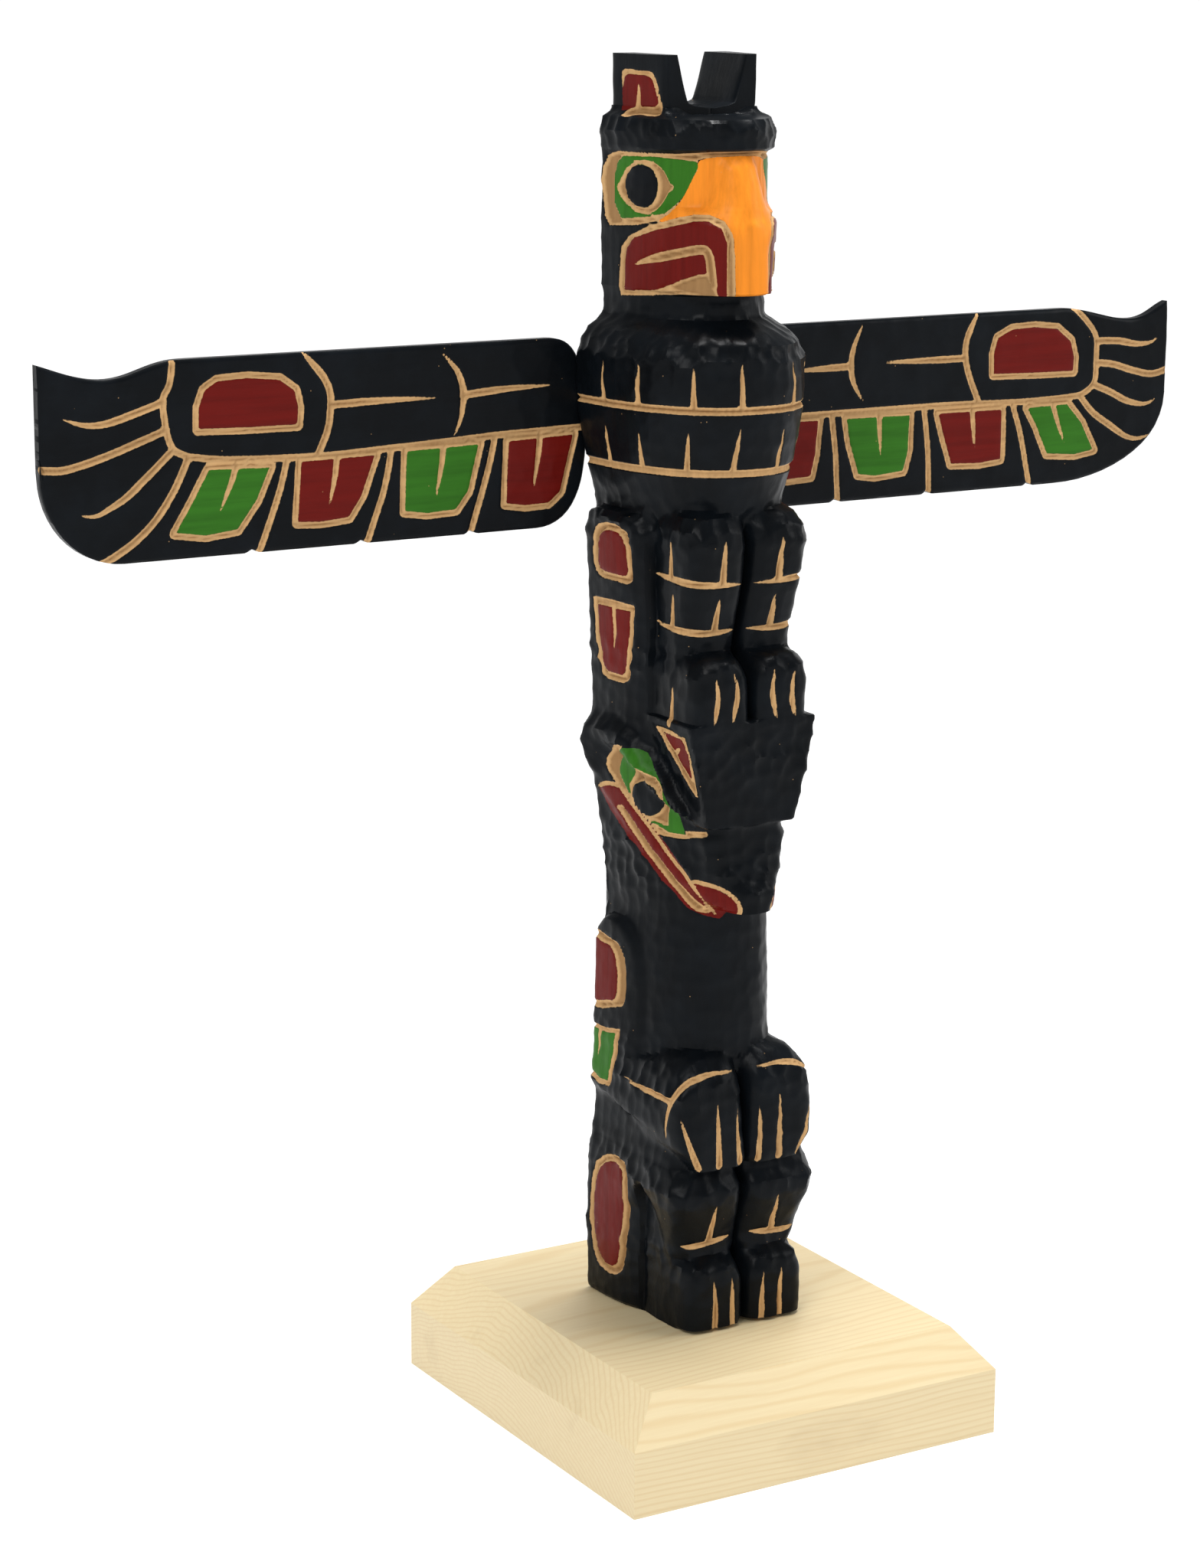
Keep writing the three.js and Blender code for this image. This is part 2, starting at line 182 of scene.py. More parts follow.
# Materials: scales are in noise cells per metre, bump distance in metres
paintLook = {
    "black": (0.002, 0.0027, 0.0036), "blackDusty": (0.005, 0.0072, 0.01), "blackRoughness": 0.27,
    "red": (0.125, 0.006, 0.004), "green": (0.03, 0.14, 0.011), "orange": (0.82, 0.25, 0.02),
    # The tan's second, darker colour is painted shade for the foot of each V groove
    "tan": (0.55, 0.335, 0.15), "tanGrooveShade": (0.18, 0.085, 0.027), "tanRoughness": 0.3, "gloss": 0.085,
    "edgeRaggedness": 0.7, "raggedScale": 520.0, "edgeBlur": 0.12, "darker": 0.78, "lighter": 1.1,
    "cloudScale": 34.0, "cloudRoughness": 0.12, "speckScale": 95.0, "speckShare": 0.55,
    "fineScale": 260.0, "bumpStrength": 0.35, "bumpDistance": 0.0006,
}


# An empty material with one principled shader
def newMaterial(name):
    material = bpy.data.materials.new(name)
    material.use_nodes = True
    tree = material.node_tree
    tree.nodes.clear()
    output = tree.nodes.new("ShaderNodeOutputMaterial")
    shader = tree.nodes.new("ShaderNodeBsdfPrincipled")
    tree.links.new(shader.outputs[0], output.inputs[0])
    return material, tree, shader


# A node with its settings, each input linked to a socket or set to a value
def addNode(tree, kind, values=None, **settings):
    node = tree.nodes.new(kind)
    for key, value in settings.items():
        setattr(node, key, value)
    for key, value in (values or {}).items():
        if hasattr(value, "is_output"):
            tree.links.new(value, node.inputs[key])
        else:
            node.inputs[key].default_value = value
    return node


def mathNode(tree, operation, a, b=0.0):
    return addNode(tree, "ShaderNodeMath", {0: a, 1: b}, operation=operation).outputs[0]


# Rises from 0 at one mark of a value to the given height at the other
def ramp(tree, value, low, high, top=1.0):
    return addNode(tree, "ShaderNodeMapRange", {0: value, 1: low, 2: high, 4: top}).outputs[0]


# Colour a where the share is 0, b where it is 1
def mixColour(tree, share, a, b):
    a, b = ((*value, 1) if isinstance(value, tuple) else value for value in (a, b))
    return addNode(tree, "ShaderNodeMix", {0: share, 6: a, 7: b}, data_type="RGBA").outputs[2]


def noiseNode(tree, coordinates, scale, detail=3.0, roughness=0.55):
    values = {"Vector": coordinates, "Scale": scale, "Detail": detail, "Roughness": roughness}
    return addNode(tree, "ShaderNodeTexNoise", values).outputs[0]


def stretched(tree, coordinates, scale):
    return addNode(tree, "ShaderNodeMapping", {"Vector": coordinates, "Scale": scale}).outputs[0]


def addBump(tree, shader, height, strength, distance):
    bump = addNode(tree, "ShaderNodeBump", {"Strength": strength, "Distance": distance, "Height": height})
    tree.links.new(bump.outputs[0], shader.inputs["Normal"])


# Painted carving: each paint's attribute is its distance in mm to that colour's edge, negative inside
def paintMaterial(name, look, grain, colours):
    material, tree, shader = newMaterial(name)
    place = addNode(tree, "ShaderNodeTexCoord").outputs["Object"]
    ragged = mathNode(tree, "SUBTRACT", noiseNode(tree, place, look["raggedScale"]), 0.5)
    ragged = mathNode(tree, "MULTIPLY", ragged, look["edgeRaggedness"])
    fibre = noiseNode(tree, stretched(tree, place, grain), 1.0, 4.0, 0.6)
    cloudy = noiseNode(tree, place, look["cloudScale"], 4.0, 0.6)
    streaks = ramp(tree, fibre, 0.3, 0.62)
    colour = mixColour(tree, ramp(tree, cloudy, 0.42, 0.75, 0.75), look["black"], look["blackDusty"])
    colour = mixColour(tree, mathNode(tree, "MULTIPLY", fibre, 0.3), colour, look["blackDusty"])
    masks = {}
    for paint in colours:
        distance = addNode(tree, "ShaderNodeAttribute", attribute_name=paint).outputs["Fac"]
        distance = mathNode(tree, "ADD", distance, ragged)
        masks[paint] = ramp(tree, distance, look["edgeBlur"], -look["edgeBlur"])
        darker = tuple(look["darker"] * part for part in look[paint])
        lighter = tuple(min(look["lighter"] * part, 1) for part in look[paint])
        own = mixColour(tree, streaks, darker, lighter)
        own = mixColour(tree, mathNode(tree, "MULTIPLY", cloudy, 0.5), own, look[paint])
        if paint == "tan":    # painted shade: the foot of the V cut is coloured darker
            own = mixColour(tree, ramp(tree, distance, -0.9, -1.8, 0.6), own, look["tanGrooveShade"])
        colour = mixColour(tree, masks[paint], colour, own)
    specks = {"Vector": place, "Scale": look["speckScale"]}
    specks = addNode(tree, "ShaderNodeTexVoronoi", specks).outputs["Distance"]
    colour = mixColour(tree, ramp(tree, specks, 0.035, 0.02, look["speckShare"]), colour, look["tan"])
    tree.links.new(colour, shader.inputs["Base Color"])
    shader.inputs["Specular IOR Level"].default_value = look["gloss"]
    bare = mathNode(tree, "MULTIPLY", masks["tan"], look["tanRoughness"])
    rough = mathNode(tree, "ADD", look["blackRoughness"], bare)
    rough = mathNode(tree, "ADD", rough, mathNode(tree, "MULTIPLY", cloudy, look["cloudRoughness"]))
    tree.links.new(rough, shader.inputs["Roughness"])
    fine = mathNode(tree, "MULTIPLY", noiseNode(tree, place, look["fineScale"]), 0.4)
    height = mathNode(tree, "ADD", mathNode(tree, "MULTIPLY", fibre, 0.6), fine)
    addBump(tree, shader, height, look["bumpStrength"], look["bumpDistance"])
    return material


boardLook = {
    "pale": (0.79, 0.655, 0.4), "late": (0.7, 0.52, 0.27), "stain": (0.46, 0.31, 0.16), "roughness": 0.5,
    "ringsPerMetre": 360.0, "heart": (0.0, 0.035, -0.16), "ringWander": 0.03,
    "bumpStrength": 0.3, "bumpDistance": 0.0005,
}


# Yellow cedar: rings are distance from a heart line that runs along X, bent a little by noise
def boardMaterial(look):
    material, tree, shader = newMaterial("planedCedar")
    place = addNode(tree, "ShaderNodeTexCoord").outputs["Object"]
    fromHeart = {0: place, 1: look["heart"]}
    fromHeart = addNode(tree, "ShaderNodeVectorMath", fromHeart, operation="SUBTRACT").outputs[0]
    parts = addNode(tree, "ShaderNodeSeparateXYZ", {0: fromHeart}).outputs
    squared = mathNode(tree, "ADD", mathNode(tree, "MULTIPLY", parts[1], parts[1]),
                       mathNode(tree, "MULTIPLY", parts[2], parts[2]))
    wander = noiseNode(tree, stretched(tree, place, (2.2, 9.0, 9.0)), 1.0)
    wander = mathNode(tree, "MULTIPLY", wander, look["ringWander"])
    rings = mathNode(tree, "ADD", mathNode(tree, "SQRT", squared), wander)
    wave = mathNode(tree, "SINE", mathNode(tree, "MULTIPLY", rings, look["ringsPerMetre"] * 2 * math.pi))
    fibre = noiseNode(tree, stretched(tree, place, (14.0, 420.0, 420.0)), 1.0, 4.0, 0.65)
    cloudy = noiseNode(tree, stretched(tree, place, (9.0, 26.0, 26.0)), 1.0, 4.0, 0.6)
    colour = mixColour(tree, ramp(tree, wave, 0.1, 1.0, 0.5), look["pale"], look["late"])
    colour = mixColour(tree, ramp(tree, fibre, 0.35, 0.75, 0.35), colour, look["late"])
    colour = mixColour(tree, ramp(tree, cloudy, 0.6, 0.85, 0.35), colour, look["stain"])
    tree.links.new(colour, shader.inputs["Base Color"])
    shader.inputs["Roughness"].default_value = look["roughness"]
    addBump(tree, shader, fibre, look["bumpStrength"], look["bumpDistance"])
    return material


wingPaintNames = ("red", "green", "tan")
polePaintNames = ("orange", *wingPaintNames)
poleMaterial = paintMaterial("paintedCarving", paintLook, (260.0, 260.0, 14.0), polePaintNames)
wingMaterial = paintMaterial("paintedWing", paintLook, (14.0, 260.0, 260.0), wingPaintNames)
print("materials made")


# The pole's forms, found along rays that run round a square; u is the way round it from the front middle
squareHalf = 46
sideMiddle = 2 * squareHalf
backCorner = 3 * squareHalf
backMiddle = 4 * squareHalf
earMiddle = 22.0    # y of the middle of the ears
pole = {
    "halfColumns": 112, "backColumns": 6, "rowStep": 1.75, "back": 44.0, "top": 698, "browTop": 666,
    "rayFrom": 84, "rayTo": 8, "samples": 76, "joinWidth": 1.8, "smoothings": 4, "middleGap": 4,
    "facetCell": (8.0, 8.0, 9.0), "facetCut": 0.045, "grooveSlope": 1.15, "grooveDepth": 2.5, "skin": 0.4,
    "levels": [94, 105, 158, 288, 342, 345.4, 346, 382.5, 460, 574.9, 575.2, 617, 619, 648, 650],
    "softTops": [(38, 7), (145, 14), (84, 10), (262, 16), (325, 14), (376, 8), (450, 10), (548, 13),
                 (662, 9)],    # heights and half widths of the bands with more facets
}

# Rounded stacks: [z, x low, x high, y front, y back, power]; trunks are centred on the back plane:
# [z, half width, y front, power]
trunkRows = {
    "eagleHead": [[573, 42.5, -43.5, 1.9], [611, 43, -44, 1.95], [617, 43, -38, 1.95],
        [620, 42.8, -27.5, 2.2], [647.5, 42.8, -26.5, 2.2], [649.5, 44, -30.6, 2.3],
        [660, 43.8, -30.8, 2.3], [664.5, 42.4, -28.6, 2.3], [666, 40.4, -25, 2.3]],
    "eagleBody": [[438, 40, -25, 4], [450, 43.5, -36, 2.5], [462, 46, -41, 2.45], [480.5, 51.5, -47.5, 2.4],
        [498, 55.6, -51.2, 2.35], [514.5, 57.6, -53.2, 2.35], [526, 58.3, -53.6, 2.35],
        [538, 57.6, -53, 2.3], [548, 55, -49.5, 2.25], [553.5, 50.5, -42.5, 2.2], [557.5, 44.5, -33, 2.15],
        [560.5, 41.5, -28, 2.15], [576, 41.4, -25.5, 2.15]],
    "coreBehindLegs": [[330, 36.5, -22, 4], [445, 36.5, -22, 4]],
    "bearBody": [[0, 32, -4, 4], [72, 32, -6, 4], [84, 40, -12, 4], [118, 41, -35, 2.8],
        [160, 41.5, -37.5, 2.7], [200, 40.5, -37.5, 2.7], [232, 38, -37, 2.8], [262, 40, -38, 2.8],
        [294, 43.6, -38, 2.8], [334, 43, -30, 3]],
}
stackRows = {
    "eagleBeak": [[575, -12, 12, -45.5, 20, 5], [600, -12, 12, -44.5, 20, 4.5],
        [610, -29, 29, -43.5, 24, 1.7], [616, -23, 23, -42, 20, 1.9], [624, -17.5, 17.5, -39.5, 20, 2.3],
        [634, -14.5, 14.5, -36.5, 20, 2.7], [641, -13.5, 13.5, -33.8, 20, 2.7],
        [646, -12, 12, -29.5, 20, 2.6], [648.5, -10, 10, -25, 20, 2.6]],
    "eagleLeg": [[380, 0.5, 35.5, -33, 4, 4], [396.5, 0.4, 36, -37.5, 4, 4], [423, 0.3, 37.5, -45.5, 4, 4],
        [442, 0.3, 38.2, -48, 4, 4], [451, 1, 37.2, -46.5, 4, 3.6], [457, 4, 34.5, -41.5, 4, 3],
        [460, 9, 30, -33, 5, 2.6]],
    "eagleFoot": [[342, 0.4, 37, -51, 6, 5], [366, 0.4, 37.4, -51.4, 6, 5], [375, 1.2, 36.4, -50, 6, 4.2],
        [380, 4, 33.5, -45.5, 8, 3.4], [382.5, 9, 29.5, -38, 4, 3]],
    "bearHand": [[94, 0.4, 33, -52.4, -20, 8], [107, 0.4, 43.4, -52.6, -10, 6],
        [114, 0.4, 45.2, -52.4, 4, 5], [122, 0.4, 45.2, -52.2, 4, 5], [139, 0.6, 44.2, -50.6, 4, 4.4],
        [150, 2.5, 39.5, -47, 2, 3.6], [156, 7, 33.5, -41, -4, 3], [158.5, 13, 28, -34, -12, 2.6]],
    "bearLeg": [[0, 0.5, 38.5, -40, 6, 4], [38, 0.5, 38.5, -41, 6, 4], [60, 0.5, 38.5, -42, 6, 4],
        [102, 0.5, 40, -43, 6, 4]],
    "bearKnee": [[42, 0.5, 38.5, -42, -24, 3.4], [54, 0.5, 41, -44.5, -20, 3.4],
        [66, 0.5, 44.4, -49.2, -16, 3.6], [74, 0.5, 46.4, -52, -10, 4], [80, 0.5, 47, -52.2, -4, 4.4],
        [87, 0.5, 46.2, -47.5, 4, 4.6], [92, 0.5, 45.2, -45, 8, 4.6], [102, 0.5, 43.4, -43, 8, 4.6]],
    "bearNose": [[248, -12, 12, -57.4, -20, 4], [256, -17.5, 17.5, -52.6, -16, 4],
        [268, -23.5, 23.5, -48.6, -12, 4], [282, -28, 28, -48.4, -8, 4]],
    "bearFoot": [[0, 0.4, 38.8, -53, 0, 5.5], [29, 0.4, 38.4, -53, 0, 5.5], [37, 2.6, 36.8, -50.5, 0, 4.4],
        [41.5, 8, 32, -44, -4, 3.4]],
}


# The sharp stretch of an outline
def corners(*points):
    return np.array(points, float)


# Forms cut from a side outline in (y, z) and a plan: outline, lowest x, plan rows, roundness of the edge
elbowPlan = [[80, 47.6, -52, 5], [124, 47.6, -52, 5], [140, 45, -49, 4.4], [152, 41.5, -43, 4],
             [160, 37, -36, 4]]
profiles = {
    "tailStrip": (
        np.vstack([curveThrough([(44, 447), (37, 454.5), (14, 455.5), (-1, 452), (-7, 442)]),
                   corners((-7, 330), (44, 330))]), 28,
        [[325, 46, -24, 3], [360, 47, -26, 3], [400, 49, -27, 3], [440, 51.4, -27, 3],
         [460, 51.4, -27, 3]], 1.5),
    "bearBrow": (
        np.vstack([corners((64, 296)),
                   curveThrough([(30, 300), (28.5, 314), (21, 319.5), (6, 314), (-20, 297), (-40, 286.5),
                                 (-56, 283.5)]),
                   curveThrough([(-58, 291.5), (-46, 293.5), (-30, 305), (-12, 323), (4, 338), (20, 344),
                                 (36, 344), (64, 340)])]), -60,
        [[270, 43, -50, 4.5], [283, 46, -54, 4.5], [290, 48, -56.5, 5], [302, 50, -57.5, 5],
         [318, 53, -57, 5], [332, 53.5, -55, 5], [345, 52, -53, 5]], 20),
    "bearMuzzle": (
        np.vstack([corners((44, 293), (38, 296), (-38, 243), (-50, 238.5), (-57.6, 238)),
                   curveThrough([(-57.6, 251), (-51, 257), (-47.5, 268), (-48, 279), (-49, 287)]),
                   corners((-40, 300), (44, 335))]), -60,
        [[230, 42.5, -61, 1.7], [260, 44, -61.5, 1.7], [290, 45.5, -60, 1.9], [340, 47, -57, 2.3]], 3),
    "bearUpperArm": (
        np.vstack([curveThrough([(44, 212), (36, 222), (25, 225), (12, 221), (3, 209), (-1, 190)]),
                   corners((-1, 140), (14, 118), (44, 120))]), 22,
        [[110, 46, -24, 3], [160, 45.4, -22, 3], [230, 44.4, -20, 3]], 4),
    "bearForearm": (
        np.vstack([curveThrough([(44, 150), (14, 149), (-8, 151), (-26, 156)]),
                   corners((-44, 152), (-46, 112), (-39, 112.5), (-19, 113.6), (4, 116), (30, 121.5),
                           (44, 125))]), 14, elbowPlan, 3),
    "bearThigh": (
        np.vstack([corners((44, 0), (44, 122), (-46, 106)),
                   curveThrough([(-46, 104), (-40, 93), (-28, 85), (-12, 80), (-6, 71)]),
                   corners((-4, 0))]), 14,
        [[0, 47.8, -24, 3], [62, 48, -28, 3], [76, 47.6, -45, 5], [88, 46.6, -47, 5], [104, 44, -46, 5],
         [124, 42.6, -44, 5]], 1.5),
}


# Distance to a rounded stack: (|x/a|^p + |y/b|^p)^(1/p) - 1 times the smaller half width, capped at its ends
def stackField(x, y, z, rows):
    table = np.array(rows, float)
    x0, x1, y0, y1, p = (np.interp(z, table[:, 0], table[:, k]) for k in range(1, 6))
    a, b = (x1 - x0) / 2, (y1 - y0) / 2
    ratio = (np.abs((x - (x0 + x1) / 2) / a) ** p + np.abs((y - (y0 + y1) / 2) / b) ** p) ** (1 / p)
    return np.maximum((ratio - 1) * np.minimum(a, b), np.maximum(table[0, 0] - z, z - table[-1, 0]))


# A trunk is a stack as deep behind the back plane as before it
def trunkField(x, y, z, rows):
    back = pole["back"]
    return stackField(x, y, z, [[h, -half, half, front, 2 * back - front, p] for h, half, front, p in rows])


# Distance to an outline in (y, z), read from a table of the same rows, then held within its plan and its x
def profileField(x, y, z, outline, inner, plan, roundness):
    step = 0.8
    ys = np.arange(-70, 56, step)
    table = outlineDistance(ys[None, :], z[:, 0, 0][:, None], outline)
    place = np.clip((y - ys[0]) / step, 0, len(ys) - 2)
    low = place.astype(int)
    row = np.arange(len(z))[:, None, None]
    side = table[row, low] + (place - low) * (table[row, low + 1] - table[row, low])
    ends = np.array(plan, float)
    held = [[-500, *ends[0, 1:]], *plan, [1500, *ends[-1, 1:]]]
    return np.maximum(-softJoin(-side, -trunkField(x, y, z, held), roundness), inner - x)


# The eagle's ears: closed shells, with the flare of their inner sides as (x, z)
ears = {
    "from": 660.0, "to": 698.0, "rows": 28, "around": 96, "front": 28.6, "back": 36.6, "roundness": 1.4,
    "flare": [(9, 671.2), (13.4, 672.6), (15.4, 677), (18, 686), (21.4, 698.1)], "join": 7.0,
}
earSlope = (ears["back"] - ears["front"]) / pole["back"]


# Distance to the block that holds the eagle's ears, which widens towards its back
def earField(x, y, z):
    side = (x - ears["front"] - earSlope * y) / math.hypot(1, earSlope)
    return np.maximum(np.maximum(side, -y), np.maximum(655 - z, z - 699))


browBlock = {
    "low": 288, "high": 345.6, "halfLow": 28.5, "halfHigh": 40.6, "front": -50.5, "back": 30, "join": 2.0,
}


# Distance to the block over the bear's brow, which widens towards its top
def browBlockField(x, y, z, form):
    slope = (form["halfHigh"] - form["halfLow"]) / (form["high"] - form["low"])
    side = (x - form["halfLow"] - slope * (z - form["low"])) / math.hypot(1, slope)
    ends = np.maximum(form["low"] - z, z - form["high"])
    return np.maximum(np.maximum(side, np.maximum(form["front"] - y, y - form["back"])), ends)


# The middle that the rays start from: on the axis, and moved back between the ears
def middle(z):
    return np.interp(z, [0, 640, 668, 698], [0, 0, earMiddle, earMiddle])


# Ray directions: the place at u on the square, over its distance from the middle
def rayDirection(u):
    half = squareHalf
    x = np.where(u <= half, u, np.where(u <= backCorner, half, backMiddle - u))
    y = np.where(u <= half, -half, np.where(u <= backCorner, u - sideMiddle, half))
    reach = np.hypot(x, y)
    return x / reach, y / reach


# Steps along slanting edges are evened out: each way is blended as far as the slope runs the other way,
# so level and upright edges stay crisp
def evenedOut(grid, turns):
    across = lambda g: np.hstack([g[:, :1], (g[:, :-2] + g[:, 2:]) / 2, g[:, -1:]])
    along = lambda g: np.vstack([g[:1], (g[:-2] + g[2:]) / 2, g[-1:]])
    soft = grid
    for turn in range(4):
        soft = (soft + across(soft)) / 2
        soft = (soft + along(soft)) / 2
    slopeU, slopeZ = np.gradient(soft, axis=1) ** 2, np.gradient(soft, axis=0) ** 2
    for turn in range(turns):
        grid = grid + (across(grid) - grid) / 2 * slopeZ / (slopeU + slopeZ + 0.02)
        grid = grid + (along(grid) - grid) / 2 * slopeU / (slopeU + slopeZ + 0.02)
    return grid


# Joined field of every form that reaches these heights, cut off at the back plane
def joinedField(x, y, z):
    width = pole["joinWidth"]
    near = lambda low, high: z.max() > low - 6 and z.min() < high + 6
    field = np.full(x.shape, 50.0)
    for form, table in ((trunkField, trunkRows), (stackField, stackRows)):
        for rows in table.values():
            if near(rows[0][0], rows[-1][0]):
                field = softJoin(field, form(x, y, z, rows), width)
    for outline, inner, plan, roundness in profiles.values():
        if near(outline[:, 1].min(), outline[:, 1].max()):
            field = softJoin(field, profileField(x, y, z, outline, inner, plan, roundness), width)
    if near(655, 699):
        field = softJoin(field, earField(x, y, z), ears["join"])
    if near(browBlock["low"], browBlock["high"]):
        field = softJoin(field, browBlockField(x, y, z, browBlock), browBlock["join"])
    return np.maximum(field, y - pole["back"])


# The carving's surface for half of the pole: along each ray, the outermost place where the field is zero
def carvedHalf():
    front = np.linspace(0, backCorner, pole["halfColumns"] - pole["backColumns"])
    u = np.concatenate([front, np.linspace(backCorner, backMiddle, pole["backColumns"] + 1)[1:]])
    z = np.unique(np.concatenate([np.arange(0, pole["browTop"], pole["rowStep"]), pole["levels"],
                                  np.linspace(pole["browTop"], pole["top"], 22)]))
    z = z[np.concatenate([[True], np.diff(z) > 0.25])]
    dx, dy = rayDirection(u)
    r = np.linspace(pole["rayFrom"], pole["rayTo"], pole["samples"])
    found = np.zeros((len(z), len(u)))
    for chunk in np.array_split(np.arange(len(z)), 12):
        heights = z[chunk][:, None, None]
        x = (dx[:, None] * r)[None] * np.ones_like(heights)
        y = middle(heights) + (dy[:, None] * r)[None]
        field = joinedField(x, y, heights)
        solid = field < 0
        first = np.argmax(solid, axis=2)
        first = np.where(solid.any(axis=2), np.maximum(first, 1), len(r) - 1)
        inner = np.take_along_axis(field, first[..., None], 2)[..., 0]
        outer = np.take_along_axis(field, first[..., None] - 1, 2)[..., 0]
        share = np.clip(outer / (outer - inner + 1e-9), 0, 1)
        found[chunk] = r[first - 1] + (r[first] - r[first - 1]) * share
    found[:, 0] = np.maximum(found[:, 0], found[:, 1] - pole["middleGap"])
    return u, z, evenedOut(found, pole["smoothings"])


u, z, radius = carvedHalf()
print("pole surface found,", len(z), "rows of", len(u))


# Height of the saddle between the ears, which flares at their foot
def saddle(x):
    flare = curveThrough([(0, 671)] + ears["flare"])
    return np.interp(np.abs(x), flare[:, 0], flare[:, 1])


# The whole ring of columns: positive u is the -X half, and the rest comes back round by the other half
dx, dy = rayDirection(u)
gridZ = np.repeat(z[:, None], len(u), 1)
browTop = pole["browTop"]
lift = np.clip((gridZ - browTop) / (pole["top"] - browTop), 0, 1)
gridZ = np.where(gridZ > browTop, browTop + (saddle(dx * radius[-2])[None] - browTop) * lift, gridZ)
order = np.concatenate([np.arange(len(u)), np.arange(len(u) - 2, 0, -1)])
side = np.concatenate([np.ones(len(u)), -np.ones(len(u) - 2)])
chartU = np.repeat((u[order] * side)[None], len(z), 0)
chartZ = np.repeat(z[:, None], len(order), 1)
rayX, rayY = -side * dx[order], dy[order]
radius, gridZ = radius[:, order], gridZ[:, order]
base = np.stack([rayX * radius, middle(z)[:, None] + rayY * radius, gridZ], 2)


# An ear: at each height a four-sided section with softened corners, whose inner side follows the flare
def earShell(look, way):
    z = np.linspace(look["from"], look["to"], look["rows"])[:, None]
    flare = curveThrough([(-1, 670.9)] + look["flare"])
    inner = np.interp(z, np.concatenate([[look["from"]], flare[:, 1]]), np.concatenate([[-1], flare[:, 0]]))
    t = np.linspace(0, 4, look["around"], endpoint=False)[None]
    k = np.floor(t).astype(int)[0]
    s = t - k
    y0, y1 = 0.05, pole["back"] - 0.05
    cornerX = np.hstack([inner, look["front"] + 0 * z, look["back"] + 0 * z, inner])
    cornerY = np.array([y0, y0, y1, y1])
    x = cornerX[:, k] * (1 - s) + cornerX[:, (k + 1) % 4] * s
    y = cornerY[k] * (1 - s) + cornerY[(k + 1) % 4] * s + 0 * z
    soft = look["roundness"] * np.clip(1 - np.minimum(s, 1 - s) * 9, 0, 1) ** 2
    outX, outY = x - (inner + look["front"]) / 2, y - earMiddle
    away = np.hypot(outX, outY)
    x, y = x - outX / away * soft, y - outY / away * soft
    x = x + wavy(y, z + 0 * x, 9.0, 21) * 0.35
    return np.stack([way * x, np.clip(y, 0, y1), z + 0 * x], 2)


# Chart place of any point: the ray from the middle of its height that passes through it
def chartOf(points):
    x, y, h = points[:, 0], points[:, 1] - middle(points[:, 2]), points[:, 2]
    ax, half = np.abs(x), squareHalf
    atFront = half * ax / np.maximum(-y, 1e-6)
    atSide = sideMiddle + half * y / np.maximum(ax, 1e-6)
    atBack = backMiddle - half * ax / np.maximum(y, 1e-6)
    u = np.where(ax <= -y, atFront, np.where(ax > np.abs(y), atSide, atBack))
    return np.where(x < 0, u, -u), h


# A place on the carved surface at chart (u, z), between its four nearest vertices
def onCarving(points):
    pu, pz = np.array(points, float).T
    n = len(u)
    column = np.interp(np.abs(pu), u, np.arange(n))
    row = np.clip(np.interp(pz, z, np.arange(len(z))), 0, len(z) - 1.001)
    c, k = np.minimum(column.astype(int), n - 2), row.astype(int)
    fc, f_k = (column - c)[:, None], (row - k)[:, None]
    low = base[k, c] * (1 - fc) + base[k, c + 1] * fc
    high = base[k + 1, c] * (1 - fc) + base[k + 1, c + 1] * fc
    place = low * (1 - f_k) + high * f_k
    place[:, 0] *= np.where(pu < 0, -1, 1)
    return place


